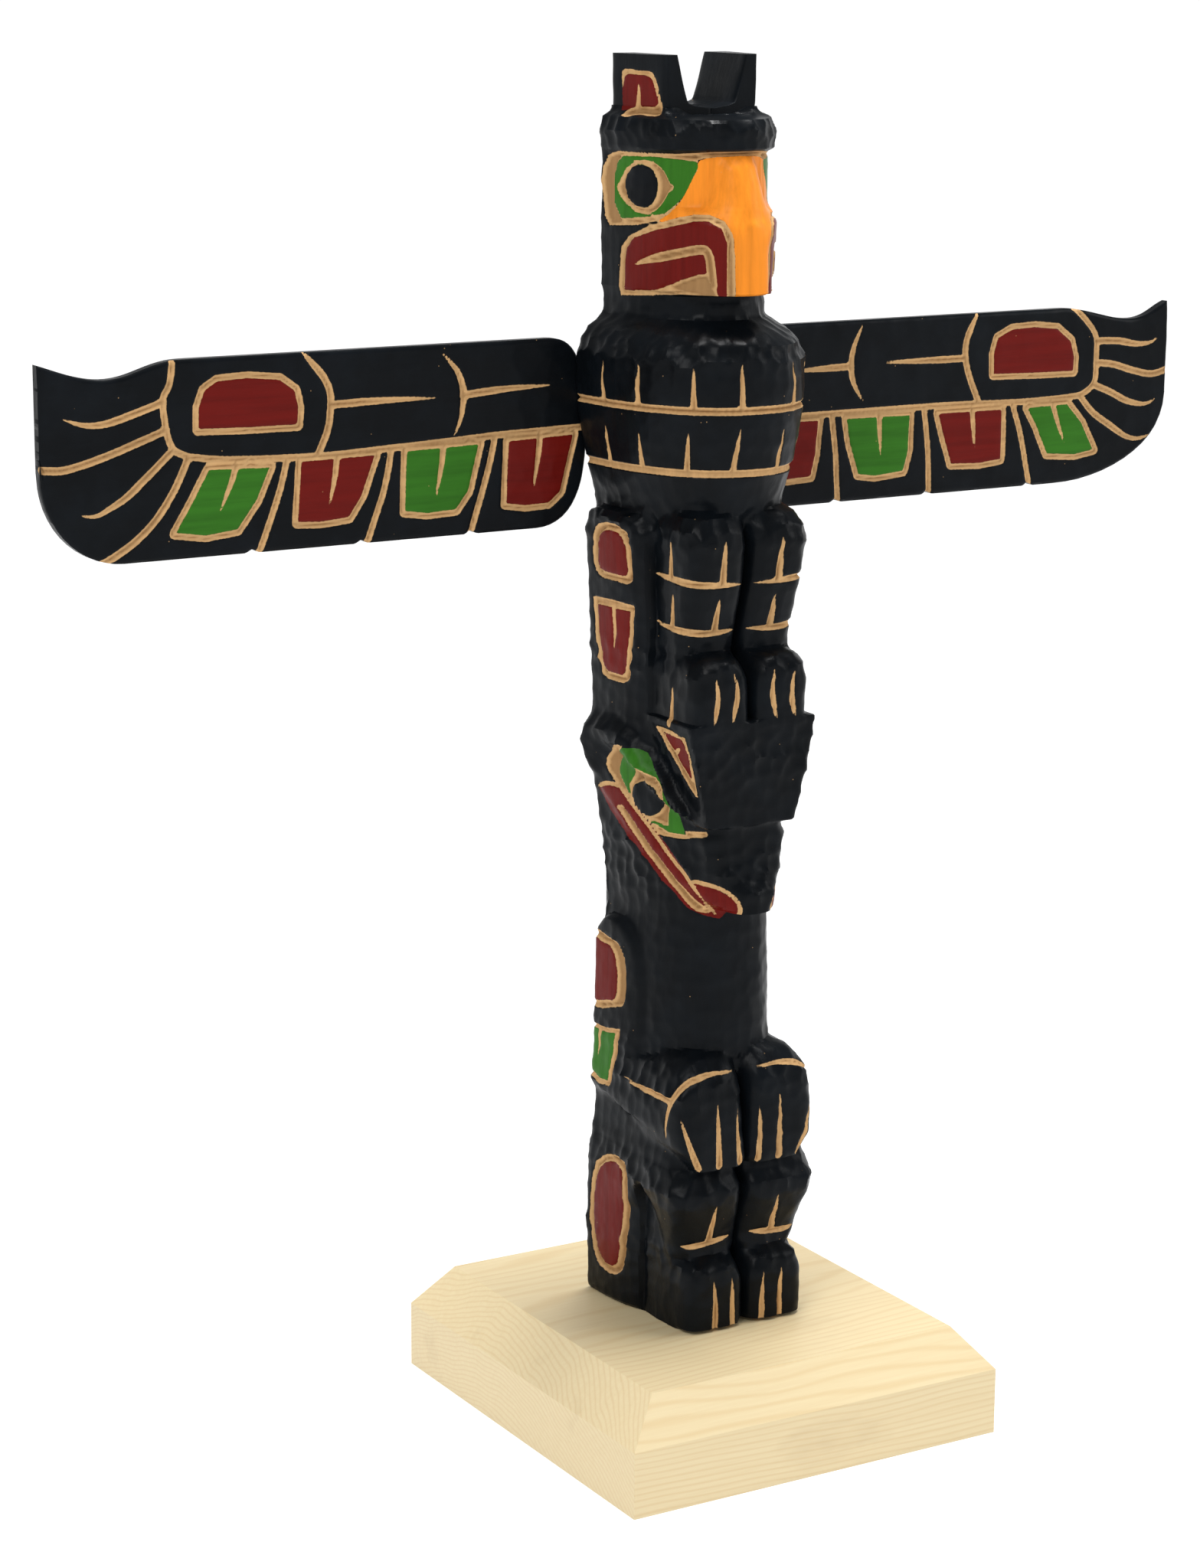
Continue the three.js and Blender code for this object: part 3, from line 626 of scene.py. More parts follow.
# The pole's carved and painted figures: closed outlines in the chart (u, z). "under" is bare wood round a
# colour, "over" is bare wood on a colour, "dark" goes back to black. The second value says if it is curved
carvedAreas = [
    ("under", 1, [(110, 687.7), (91.9, 689.3), (74.9, 688), (65.3, 676.5), (62.4, 667), (84, 666.6),
        (101, 666.8)]),
    ("red", 1, [(107, 685.5), (93, 687), (78, 685.8), (71, 678.5), (68.5, 671.5), (92.8, 670.4),
        (106.8, 669)]),
    ("under", 0, [(129.7, 607.1), (134.1, 612.3), (138.5, 627.3), (136.8, 638.3), (128.1, 644.6),
        (115.2, 647.2), (89.4, 647.4), (65.7, 647.2), (20, 648.4), (-4, 648.6), (-4, 646.4), (20, 645.8),
        (33.1, 645), (42, 644.1), (57.5, 633.6), (67.1, 624.9), (78.8, 615.8), (87.4, 612), (105, 609)]),
    ("green", 0, [(118.9, 611.6), (125.1, 619.4), (125.6, 634.6), (122, 641.2), (113.9, 644.7), (93, 645.4),
        (68.5, 644.4), (43.3, 643.3), (56.1, 634.7), (67.1, 624.9), (82.1, 616.1), (100, 613.2)]),
    ("over", 0, [(123.8, 627.6), (119.6, 633), (115.8, 638.2), (107, 642.4), (98.4, 643.4), (91.4, 642.4),
        (85.8, 638), (80.6, 632), (74.8, 629.2), (81.2, 627), (86, 621.4), (90.2, 617.4), (97.1, 614.6),
        (107, 615.6), (115.5, 619.8), (120.5, 623.5)]),
    ("dark", 1, [(102.7, 640.7), (96.5, 639.4), (92, 635.1), (90, 629.8), (91.8, 623.2), (96.3, 619.3),
        (101.5, 618.3), (109, 619.8), (114.2, 624.3), (116, 629.7), (114.5, 635.2), (109.4, 639.4)]),
    ("orange", 0, [(-20, 646.8), (10, 646.6), (27.2, 645.6), (43.3, 643.3), (50.5, 638.8), (57.5, 633.6),
        (67.1, 624.9), (78.3, 616.3), (89, 611), (69.2, 612), (29.5, 614), (18.1, 610), (13.6, 603),
        (12.6, 595.2), (12.2, 574), (-20, 574)]),
    ("under", 0, [(121.2, 570.4), (121, 583), (119.1, 596.9), (112.2, 602.8), (94.7, 609.2), (69.2, 614.2),
        (50, 616), (29.5, 616.1), (18.1, 613.2), (13.2, 605.9), (11.7, 595.2), (11.3, 573.5), (26, 573.5),
        (60, 574), (90, 572.5)]),
    ("red", 0, [(117, 573.5), (116.4, 585), (114.9, 596), (108.7, 601.9), (90, 607), (68, 610.4),
        (50, 612.6), (31.4, 613), (20.5, 609.5), (16.5, 601.6), (15.9, 573.8), (22, 573.8), (24.9, 578.8),
        (53.5, 578.2), (82.6, 575.6)]),
    ("over", 0, [(90, 575.2), (63.6, 581.7), (44, 584.6), (30.7, 585.4), (26, 580), (24.9, 575),
        (50, 574.5)]),
    ("under", 1, [(125.1, 427), (123.7, 437.6), (120.3, 445), (110.9, 448.3), (100.1, 446.7), (95.2, 441),
        (93.9, 430.2), (94.5, 417.6), (105.4, 416.6), (121.2, 417.7)]),
    ("red", 1, [(120.8, 427), (119.3, 437), (116.5, 441.9), (110.1, 444.3), (101.9, 443.2), (98.4, 437.9),
        (97.3, 429.8), (97.8, 421), (107.8, 420.4), (119.2, 421.4)]),
    ("under", 0, [(127.6, 405.1), (109.1, 405.9), (93.5, 404.6), (95.4, 385.9), (97.6, 368), (99.5, 363),
        (104, 360.2), (118.5, 360.4), (123.5, 362.4), (127.6, 389.8)]),
    ("red", 0, [(124.4, 401), (109.4, 401.4), (96.8, 401), (98.5, 385.5), (100.7, 370.4), (104.5, 364.3),
        (118.6, 364.5), (121.4, 367.5), (124.1, 390.4)]),
    ("under", 0, [(78.2, 340.6), (60.6, 340.6), (42.7, 338.7), (38.5, 329.6), (36, 321), (32.5, 304.6),
        (53.7, 320.7)]),
    ("red", 0, [(69.2, 338), (47.6, 337.4), (43.4, 334.6), (39.8, 328.3), (36.9, 314.9), (54.5, 327.6)]),
    ("under", 0, [(98.6, 327.3), (92, 327), (86, 321), (76, 311), (66, 299), (56, 289), (48, 283.4),
        (26, 285.2), (26, 282.4), (47.9, 279), (71.4, 278.6), (83, 279.2), (92, 284.2), (107, 296),
        (116.2, 304.5), (121.4, 311.4), (117, 319), (108.4, 324.5)]),
    ("green", 0, [(101.5, 322.2), (96.8, 325.4), (89.2, 326.8), (82.9, 324.8), (78.2, 320.3), (72.7, 314.6),
        (63.9, 303.7), (55.8, 295), (46.7, 281.7), (65.9, 281.2), (82.5, 285), (91.2, 290.1), (103.8, 300),
        (109.8, 309.4), (108, 316)]),
    ("over", 0, [(93.3, 318.3), (83, 315.7), (73, 312.8), (66.5, 307.2), (63.8, 298.9), (66.5, 290),
        (66.6, 284.6), (76, 285.6), (84.4, 286.5), (92.3, 289.1), (99.9, 296.1), (101.6, 303.5),
        (95.5, 310)]),
    ("dark", 1, [(81.5, 308.9), (74.7, 308.4), (69.9, 305.2), (68.6, 299.8), (73, 293.5), (80.4, 289.4),
        (86.3, 288.4), (92.7, 290.2), (97.6, 294.6), (98.9, 299.2), (96.6, 304), (89.5, 307.5)]),
    ("red", 0, [(132.8, 295.3), (122.4, 299.4), (111.3, 300.1), (101.2, 295.6), (82.7, 283), (63, 269.7),
        (39.6, 254.9), (19.5, 253.3), (10.9, 248.1), (8.4, 243), (7.6, 238), (14.4, 233.2), (27.9, 235.8),
        (47.5, 239.6), (75.5, 252.5), (101.3, 270.1), (125.2, 285.2)]),
    ("over", 0, [(114.4, 289.2), (108.9, 290.8), (100.8, 284), (88.5, 273.3), (74.7, 263.4), (60.4, 254.4),
        (38.5, 245.4), (20.6, 237.9), (23.4, 236.4), (34.6, 237.6), (47.5, 242), (68.2, 252), (88.4, 264.8),
        (102.9, 277.7)]),
    ("under", 1, [(140, 210.4), (121.4, 212), (111.3, 209.9), (105.7, 202.2), (104.3, 189.7),
        (104.9, 178.6), (111.5, 173.6), (140, 170.6)]),
    ("red", 1, [(140, 206.3), (126.6, 207.6), (118.6, 206.6), (113.9, 201), (112.3, 187.7), (113.7, 178.3),
        (120, 175.6), (140, 174.6)]),
    ("under", 0, [(140, 159), (120.8, 159.2), (107.6, 161.6), (110.3, 143.4), (112.8, 126.5), (125, 125.5),
        (140, 129.5)]),
    ("green", 0, [(140, 156.2), (121.6, 156.4), (111.9, 158.2), (114.5, 142.2), (116.6, 129), (125, 128.6),
        (140, 133)]),
    ("under", 1, [(129.1, 65.1), (124.5, 78.2), (114.4, 86), (102.1, 87.6), (94, 83.5), (93, 72), (95, 50),
        (97.8, 30), (101.1, 20.4), (107.7, 16), (118.3, 16.7), (127, 23.7), (130.6, 45.6)]),
    ("red", 1, [(125.5, 65.2), (121, 75.7), (113.1, 82), (103.9, 83.4), (98.8, 79), (98.4, 68), (100.4, 48),
        (103, 30), (105.4, 23.4), (110.3, 20.7), (118.3, 22), (124.4, 29.5), (127, 46.6)]),
]

# Strokes of bare wood: half width, pointed share at the start and at the end, points in the chart
carvedStrokes = [
    (2.0, 0.9, 0.0, [(92.6, 682.8), (92.2, 677), (91.8, 669)]),
    (2.6, 0.25, 0.0, [(108.2, 587.8), (95, 591.2), (68.1, 595.4), (38.1, 598), (30.5, 595), (28, 587),
        (26.5, 579)]),
    (1.9, 0.8, 0.0, [(110.5, 378), (109.6, 390), (109.4, 402)]),
    (2.1, 0.4, 0.3, [(85, 425.6), (79.5, 423.6), (64.6, 422.9), (42.4, 422.2), (29.1, 421.3), (18.4, 420.6),
        (2.6, 420.4)]),
    (2.2, 0.9, 0.0, [(61.8, 444.1), (62.8, 423.4)]),
    (2.3, 0.9, 0.0, [(17.4, 445.8), (18.3, 421.5)]),
    (2.1, 0.4, 0.3, [(85, 399), (77.6, 396.4), (62.2, 395.4), (42.9, 394.6), (29.9, 393.6), (18.1, 393.5),
        (2.8, 394.5)]),
    (2.1, 0.9, 0.0, [(60.8, 415.2), (62.7, 396)]),
    (2.2, 0.9, 0.0, [(19.4, 413.3), (22.3, 394.5)]),
    (2.0, 0.95, 0.0, [(59.6, 364.7), (61, 344)]),
    (1.75, 0.6, 0.35, [(23.1, 372.7), (21.4, 360.2), (23.4, 345.5)]),
    (1.75, 0.6, 0.35, [(12, 373.4), (10.2, 360.9), (12.9, 345.5)]),
    (1.5, 0.0, 0.5, [(57, 326.7), (48.5, 332.2)]),
    (1.35, 0.1, 0.1, [(109.8, 299.4), (94.3, 288.4), (79.9, 277.9), (63.2, 266.1), (41.7, 254.7),
        (28.2, 244.8), (15.8, 234.4)]),
    (1.3, 0.1, 0.0, [(40, 255.6), (19.5, 254), (11.2, 249), (8.6, 243.4), (8.8, 240)]),
    (1.3, 0.2, 0.0, [(133, 296), (122.4, 300.4), (111.3, 301)]),
    (1.5, 0.8, 0.0, [(128.7, 140), (127.1, 156.5)]),
    (2.1, 0.7, 0.0, [(98.7, 136.6), (81.7, 134.6), (63.1, 134.4), (50.8, 134.5)]),
    (1.9, 0.35, 0.45, [(3, 147.2), (10.1, 148.2), (21.6, 149.2), (33.5, 146.9), (41.7, 142.4),
        (48.7, 135.6), (53.3, 127), (54.9, 118.8), (54.4, 109)]),
    (2.0, 0.95, 0.0, [(41.5, 127), (35.7, 113.3), (29.4, 96.4)]),
    (2.1, 0.95, 0.0, [(18.7, 132.9), (18, 115), (17.4, 96.4)]),
    (1.9, 0.95, 0.0, [(6.9, 128.7), (6.7, 112.7), (5.3, 96.4)]),
    (1.9, 0.3, 0.25, [(42.6, 48.9), (32.1, 48.4), (20, 49.4), (7.1, 50.8)]),
    (2.2, 0.95, 0.0, [(18.5, 73.5), (19.8, 62.7), (22, 50)]),
    (1.9, 0.7, 0.0, [(19.6, 30.9), (18.6, 14), (19, 0)]),
    (1.8, 0.7, 0.0, [(8.9, 30.4), (8.7, 14.9), (8.5, 0)]),
]

# Feather lines round the chest: height of the level line, half width of its ticks,
# and the ticks as (u at the top, u at the line, height of the top)
chestRows = [
    (514.5, 1.9, [(106.1, 106, 539), (82.6, 83.4, 538), (40.1, 39.6, 537.7), (10.8, 9.9, 541),
                  (-22, -23.5, 539.5), (-57, -57, 538), (-88, -88, 539), (-109, -109, 538)]),
    (480.5, 1.8, [(105.8, 108.8, 504.2), (83.4, 85.3, 502.8), (44.4, 47.8, 503.2), (10.3, 13.4, 506),
                  (-15.9, -14.7, 504.3), (-50, -51, 504), (-84, -86, 503), (-107, -109, 504)]),
]
chestStrokes = []
for level, tickHalf, ticks in chestRows:
    chestStrokes.append((2.2, 0.0, 0.0, [(a, level) for a in (-140, -92, -46, 0, 46, 92, 140)]))
    chestStrokes += [(tickHalf, 0.95, 0.0, [(a, top), (b, level - 0.5)]) for a, b, top in ticks]

unpainted = 9.0    # mm, a distance past every colour's edge
earShells = [earShell(ears, way) for way in (-1, 1)]
bodyCount = base[..., 0].size
flat = np.vstack([base.reshape(-1, 3)] + [shell.reshape(-1, 3) for shell in earShells])
paints = {key: np.full(len(flat), unpainted) for key in ("under", "red", "green", "orange", "over", "dark")}
earU, earZ = chartOf(flat[bodyCount:])
flatU, flatZ = np.concatenate([chartU.ravel(), earU]), np.concatenate([chartZ.ravel(), earZ])


# Lowers one paint's distance near a drawn line: the space distance to its points, less their half widths
def drawOnPole(paint, chartPoints, halves, outline=None):
    chartPoints = np.array(chartPoints, float)
    low, high = chartPoints.min(axis=0) - (24, 9), chartPoints.max(axis=0) + (24, 9)
    near = np.where((flatU > low[0]) & (flatU < high[0]) & (flatZ > low[1]) & (flatZ < high[1]))[0]
    places = onCarving(chartPoints)
    distance = np.full(len(near), unpainted)
    for part, half in zip(np.array_split(places, 12), np.array_split(halves, 12)):
        if len(part):
            apart = np.linalg.norm(flat[near][:, None] - part[None], axis=2)
            distance = np.minimum(distance, (apart - half[None]).min(axis=1))
    if outline is not None:
        inside = outlineDistance(flatU[near], flatZ[near], outline) < 0
        distance = np.where(inside, -distance, distance)
    paints[paint][near] = np.minimum(paints[paint][near], distance)


for paint, curved, outline in carvedAreas:
    shape = closedCurve(outline) if curved else np.array(outline, float)
    ring = evenly(np.vstack([shape, shape[:1]]), 0.9)[0]
    for way in (1, -1):
        drawOnPole(paint, ring * (way, 1), np.zeros(len(ring)), shape * (way, 1))
for strokes, ways in ((carvedStrokes, (1, -1)), (chestStrokes, (1,))):
    for half, taperStart, taperEnd, points in strokes:
        line, share = evenly(curveThrough(points), 0.8)
        for way in ways:
            drawOnPole("over", line * (way, 1), strokeWidth(share, half, taperStart, taperEnd))


# Colours give way to what is drawn over them; bare wood is the rim outside a colour and the lines over it
def settlePaints(paints):
    rim = np.maximum(paints["under"], -np.minimum(paints["red"], paints["green"]))
    settled = {key: np.maximum(paints[key], -paints["dark"]) for key in ("red", "green")}
    settled["orange"] = np.maximum(paints["orange"], -rim)
    settled["tan"] = np.maximum(np.minimum(rim, paints["over"]), -paints["dark"])
    return settled


# The ears' inner faces share their chart places with the outer ones, and stay unpainted
hidden = np.arange(len(flat)) >= bodyCount
hidden &= np.abs(flat[:, 0]) < 26 + earSlope * flat[:, 1]
for key in paints:
    paints[key][hidden] = unpainted
settled = settlePaints(paints)
print("pole figures drawn")

# Cuts: knife facets on tops and between colours, V grooves in bare wood, and a slow ripple; the back is plain
facets = knifeFacets(base, pole["facetCell"], 3)
onBack = np.abs(chartU) > backCorner
softTops = sum(np.exp(-((gridZ - at) / reach) ** 2) for at, reach in pole["softTops"])
cut = pole["facetCut"] * np.clip(0.3 + softTops, 0, 1) * np.where(onBack, 0.15, 1)
painted = np.minimum(np.minimum(settled["red"], settled["green"]), settled["orange"])
cut = cut * np.clip(0.35 + painted[:bodyCount].reshape(facets.shape), 0.35, 1)
groove = np.minimum(np.clip(-settled["tan"], 0, None) * pole["grooveSlope"], pole["grooveDepth"])
earGroove, groove = groove[bodyCount:], groove[:bodyCount].reshape(facets.shape)
ripple = wavy(chartU, gridZ, 16.0, 11) * 0.5 + wavy(chartU, gridZ * 0.5, 6.0, 17) * 0.18
carvedRadius = radius + facets * cut - pole["skin"] - groove + ripple * np.where(onBack, 0, 1)
surface = np.stack([rayX * carvedRadius, middle(z)[:, None] + rayY * carvedRadius, gridZ], 2)
surface[..., 1] = np.minimum(surface[..., 1], pole["back"] - 0.05)
surface[0, :, 2] = 0.0

# The body ends at the foot of the saddle
saddleTop = 671.2
surface = surface[:int(np.searchsorted(z, saddleTop + 0.3))]
surface[..., 2] = np.minimum(surface[..., 2], saddleTop)

# Closed parts of the pole's mesh: a grid of points, its end vertices, and its first point's row in the paints
parts = [(surface, [0, 0, 0], [0, earMiddle, saddleTop], 0)]
for n, shell in enumerate(earShells):
    grooves = earGroove.reshape(2, *shell.shape[:2])[n]
    centre = np.array([shell.reshape(-1, 3)[:, 0].mean(), earMiddle])
    away = shell[..., :2] - centre
    carved = shell.copy()
    carved[..., :2] -= away / np.linalg.norm(away, axis=2)[..., None] * grooves[..., None]
    parts.append((carved, [*centre, ears["from"]], [*centre, ears["to"]], bodyCount + n * grooves.size))

vertexList, quadList, fanList, paintRows, start = [], [], [], [], 0
for grid, lowEnd, highEnd, firstRow in parts:
    vertices = np.vstack([grid.reshape(-1, 3), [lowEnd, highEnd]])
    quads, fans = facingOut(vertices, *closedGrid(*grid.shape[:2]))
    vertexList.append(vertices)
    quadList.append(quads + start)
    fanList.append(fans + start)
    paintRows += [np.arange(firstRow, firstRow + len(vertices) - 2), np.full(2, -1)]
    start += len(vertices)
quads, triangles = np.vstack(quadList), np.vstack(fanList)
rowOf = np.concatenate(paintRows)
polePaints = {key: np.where(rowOf < 0, unpainted, settled[key][rowOf]) for key in polePaintNames}
poleFigure = makePiece("carvedPole", np.vstack(vertexList), quads, triangles, polePaints, poleMaterial, 26)
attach(poleFigure, "root")
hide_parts("pole")
print("pole made,", 2 * len(quads) + len(triangles), "triangles")


# Wing boards: sizes in mm; a groove's slope is its depth for each mm from the edge of the bare wood
wing = {
    "front": 44.3, "thickness": 8.0, "top": 547.0, "depth": 103.0, "inner": 50.0, "notchDepth": 2.0,
    "columns": 260, "rows": 78, "edgeRound": 1.6, "rimWidth": 3.4, "grooveDepth": 1.7, "grooveSlope": 0.9,
    "scallopDepth": 1.3, "scallopWidth": 17.0, "facetCell": (19.0, 1.0, 26.0), "facetLimit": 90,
    "frontFacets": 0.0035, "backFacets": 0.001, "frontInset": 0.2, "backInset": 0.1, "paintInset": 0.4,
}


# Points of a cubic curve between two ends with two handles
def bezier(p0, p1, p2, p3, count=14):
    t = np.linspace(0, 1, count)[:, None]
    p0, p1, p2, p3 = (np.array(p, float) for p in (p0, p1, p2, p3))
    return (1 - t) ** 3 * p0 + 3 * (1 - t) ** 2 * t * p1 + 3 * (1 - t) * t * t * p2 + t ** 3 * p3


# Upper and lower edge of a board, as points (distance out from the axis, height); shares run from the inner
# end to the tip and from the top down
def wingEdges(look, reach, crest, dip, corner, notches):
    inner = look["inner"]
    across = lambda t: inner + (reach - inner) * t
    down = lambda t: look["top"] - look["depth"] * t
    upper = np.vstack([
        bezier((inner, down(0.5)), (inner, down(0.12)), (across(0.02), down(0)), (across(0.075), down(0))),
        bezier((across(crest), down(0)), (across(crest + 0.06), down(0)), (across(dip - 0.055), down(0.085)),
               (across(dip), down(0.08))),
        bezier((across(dip), down(0.08)), (across(dip + 0.04), down(0.075)), (across(0.97), down(0.02)),
               (reach, down(-0.01)))[1:]])
    lower = [bezier((inner, down(0.5)), (inner, down(0.82)), (across(0.03), down(1)), (across(0.1), down(1)))]
    for notch in reversed(notches):
        lower.append(np.array([
            (across(notch - 0.012), down(1)), (across(notch), down(1) + look["notchDepth"]),
            (across(notch + 0.012), down(1))]))
    lower.append(bezier((across(corner), down(1)), (across((corner + 1) / 2), down(1)), (reach, down(0.82)),
                        (reach, down(0.52))))
    return upper, np.vstack(lower)


# Figures of each board in (distance out, height): red and green outlines, and strokes as on the pole
rightWing = {
    "side": -1, "edges": (369, 0.75, 0.89, 0.86, [0.633, 0.433, 0.226]),
    "red": [
        [(281.9, 510.5), (281.7, 522.1), (278.3, 530.8), (270.7, 535.2), (253.4, 536), (235, 534),
            (226.3, 527.8), (224.2, 518.7), (225, 509.4), (253, 509.6)],
        [(223.5, 490.4), (225.1, 471.4), (226, 458), (212.7, 457.1), (195.5, 458.4), (187.8, 469.8),
            (179.5, 491)],
        [(99.4, 493.2), (100.2, 473.1), (101, 458.8), (88.7, 456.8), (74, 457.3), (66.6, 463.2),
            (58.5, 494.4)],
    ],
    "green": [
        [(276.4, 489.8), (284.8, 475.1), (296, 457.6), (278.7, 454.9), (260.3, 456.8), (249.1, 471.5),
            (241, 488.6)],
        [(161.4, 491.8), (162.2, 472.1), (162.5, 459.1), (148.7, 457), (131.5, 457.8), (123.7, 467.3),
            (117, 492.8)],
    ],
    "strokes": [
        (1.9, 0, 0, [(287.5, 496.8), (262.9, 493.8), (211.5, 492.4), (171.9, 493.7), (137.9, 495.1),
            (100.8, 496.8), (54, 497.8)]),
        (1.9, 0, 0, [(295.5, 545.5), (297.3, 534.8), (301.2, 527.2), (300.4, 516.4), (298.5, 506.5),
            (295, 500.5), (287.5, 496.8)]),
        (2.1, 0, 0.5, [(301, 525.8), (315.6, 521.3), (331.4, 516.9), (341.8, 516.3), (350, 518),
            (356.6, 520.7)]),
        (2.1, 0, 0, [(299.5, 511.4), (315.9, 505.7), (331.8, 500.4), (347.5, 496.1), (357.9, 494.4),
            (370, 495.2)]),
        (2.1, 0, 0.5, [(297.6, 499.6), (311.1, 487.8), (321.9, 478.7), (332.5, 472.7), (339.9, 469.8),
            (348.2, 470.7)]),
        (2.1, 0, 0, [(288, 496), (295.4, 480.8), (306.3, 465.8), (317.2, 455.8), (327.9, 449.2),
            (337, 444.5)]),
        (1.9, 0, 0.8, [(260.2, 493.2), (263, 483.4), (270.4, 467.1)]),
        (1.9, 0, 0, [(231.4, 492), (237, 472.6), (248.8, 443)]),
        (2.1, 0.25, 0, [(222.8, 548.6), (211.7, 536.3), (206.7, 527.8), (205.7, 519.5), (207.5, 506.3),
            (213.6, 493)]),
        (2.1, 0, 0.7, [(205.7, 518.8), (177.5, 519.4), (142.5, 518.9)]),
        (2.1, 0.5, 0.5, [(140, 543.2), (130.6, 532.9), (127.1, 524.3), (126.5, 517), (128.4, 506.6),
            (132.5, 497.9)]),
        (2.1, 0, 0.7, [(126.8, 519.4), (100.8, 521.3), (72.4, 521.8)]),
        (1.9, 0, 0.8, [(202.3, 492), (203.9, 480.3), (207.5, 465)]),
        (1.9, 0, 0, [(170.4, 493), (174.4, 473), (185.6, 443)]),
        (1.9, 0, 0.8, [(138.6, 494.6), (140.3, 481.1), (143.7, 465)]),
        (1.9, 0, 0, [(107.6, 495), (111.7, 478.1), (123, 443)]),
        (1.9, 0, 0.8, [(79.4, 496), (80.8, 482.4), (83.8, 465.5)]),
    ],
}
leftWing = {
    "side": 1, "edges": (353, 0.74, 0.915, 0.73, [0.667, 0.427, 0.215]),
    "red": [
        [(224.3, 511), (223.9, 523.1), (226.7, 532.4), (237.1, 537), (253.1, 537.7), (270.3, 535.8),
            (280.4, 528.1), (283.5, 518.3), (283.3, 509.7), (256.3, 510)],
        [(185.2, 491), (190.4, 474.8), (195.5, 460.4), (215.6, 459.4), (231.4, 460.9), (231.8, 476.4),
            (231.2, 490.6)],
        [(79.8, 492.4), (78.2, 475.3), (78.1, 459), (97.9, 459.8), (100.7, 472.2), (102.7, 492)],
    ],
    "green": [
        [(249.4, 490.4), (256.5, 479.2), (265, 461.8), (285.5, 460), (300, 462), (290.7, 478.8),
            (279.2, 491)],
        [(121, 491.8), (124.2, 476.5), (130.2, 458.8), (142, 457), (162, 458.7), (165.3, 471.3),
            (165.7, 491.3)],
    ],
    "strokes": [
        (1.9, 0, 0, [(282.3, 547.5), (290.7, 540.4), (297, 533.2), (299.6, 527), (299.5, 517.5),
            (299.8, 507.9), (298.4, 501.9), (293.7, 497.8), (286.1, 495.2), (267.7, 494.3)]),
        (1.9, 0, 0, [(268, 494.3), (240.9, 494), (193.4, 495.1), (135.9, 495.1), (88.7, 495.1),
            (54, 496.5)]),
        (2.1, 0, 0.5, [(300, 526.9), (315.4, 526.2), (329.8, 523.7), (339.8, 524.1), (345.2, 526.9)]),
        (2.1, 0, 0, [(299.6, 514), (312.7, 512.4), (327.3, 508.1), (341.9, 505.2), (355.2, 507.9)]),
        (2.1, 0, 0.5, [(298.4, 501), (311.3, 495.9), (322.6, 490.5), (333.8, 487.6), (340.5, 488.1),
            (345.8, 490.4)]),
        (2.1, 0, 0.5, [(288.4, 494.8), (298.6, 484.5), (312.2, 475.8), (323.6, 468.9), (333.7, 466.9),
            (343.7, 469.4)]),
        (1.9, 0, 0.8, [(267.6, 494), (272.1, 481.7), (278.1, 466.5)]),
        (1.9, 0, 0, [(238.4, 494), (244.8, 476.5), (253, 443)]),
        (1.9, 0, 0.8, [(209.6, 494), (210.6, 483.8), (212.2, 468.2)]),
        (2.1, 0.25, 0, [(213.4, 548.6), (205.6, 535.1), (203.9, 525), (206.4, 513), (214.3, 495.4)]),
        (2.1, 0, 0.7, [(204.4, 521.6), (176, 521.8), (144.3, 522.3)]),
        (2.1, 0.5, 0.5, [(132, 545), (125.8, 532.4), (124.1, 520.9), (126.4, 510.7), (133.7, 499.4)]),
        (2.1, 0, 0.7, [(124.1, 521.3), (107, 521), (84, 520.5)]),
        (1.9, 0, 0, [(175.3, 494), (178.6, 473), (180.4, 443)]),
        (1.9, 0, 0.8, [(144, 494), (144.9, 481.1), (145.8, 468.4)]),
        (1.9, 0, 0, [(111, 495), (114.2, 473), (116.4, 443)]),
    ],
}


# Paint distances on a board's face: outlines, their rims, and lines less their half widths
def wingPaints(figures, look, a, h):
    drawn = {key: np.full(len(a), unpainted) for key in ("red", "green", "orange", "over", "dark")}
    for paint in ("red", "green"):
        for outline in figures[paint]:
            drawn[paint] = np.minimum(drawn[paint], outlineDistance(a, h, outline) + look["paintInset"])
    for half, taperStart, taperEnd, points in figures["strokes"]:
        line, share = evenly(curveThrough(points), 1.0)
        for place, width in zip(line, strokeWidth(share, half, taperStart, taperEnd)):
            drawn["over"] = np.minimum(drawn["over"], np.hypot(a - place[0], h - place[1]) - width)
    drawn["under"] = np.minimum(drawn["red"], drawn["green"]) - look["rimWidth"]
    return settlePaints(drawn)


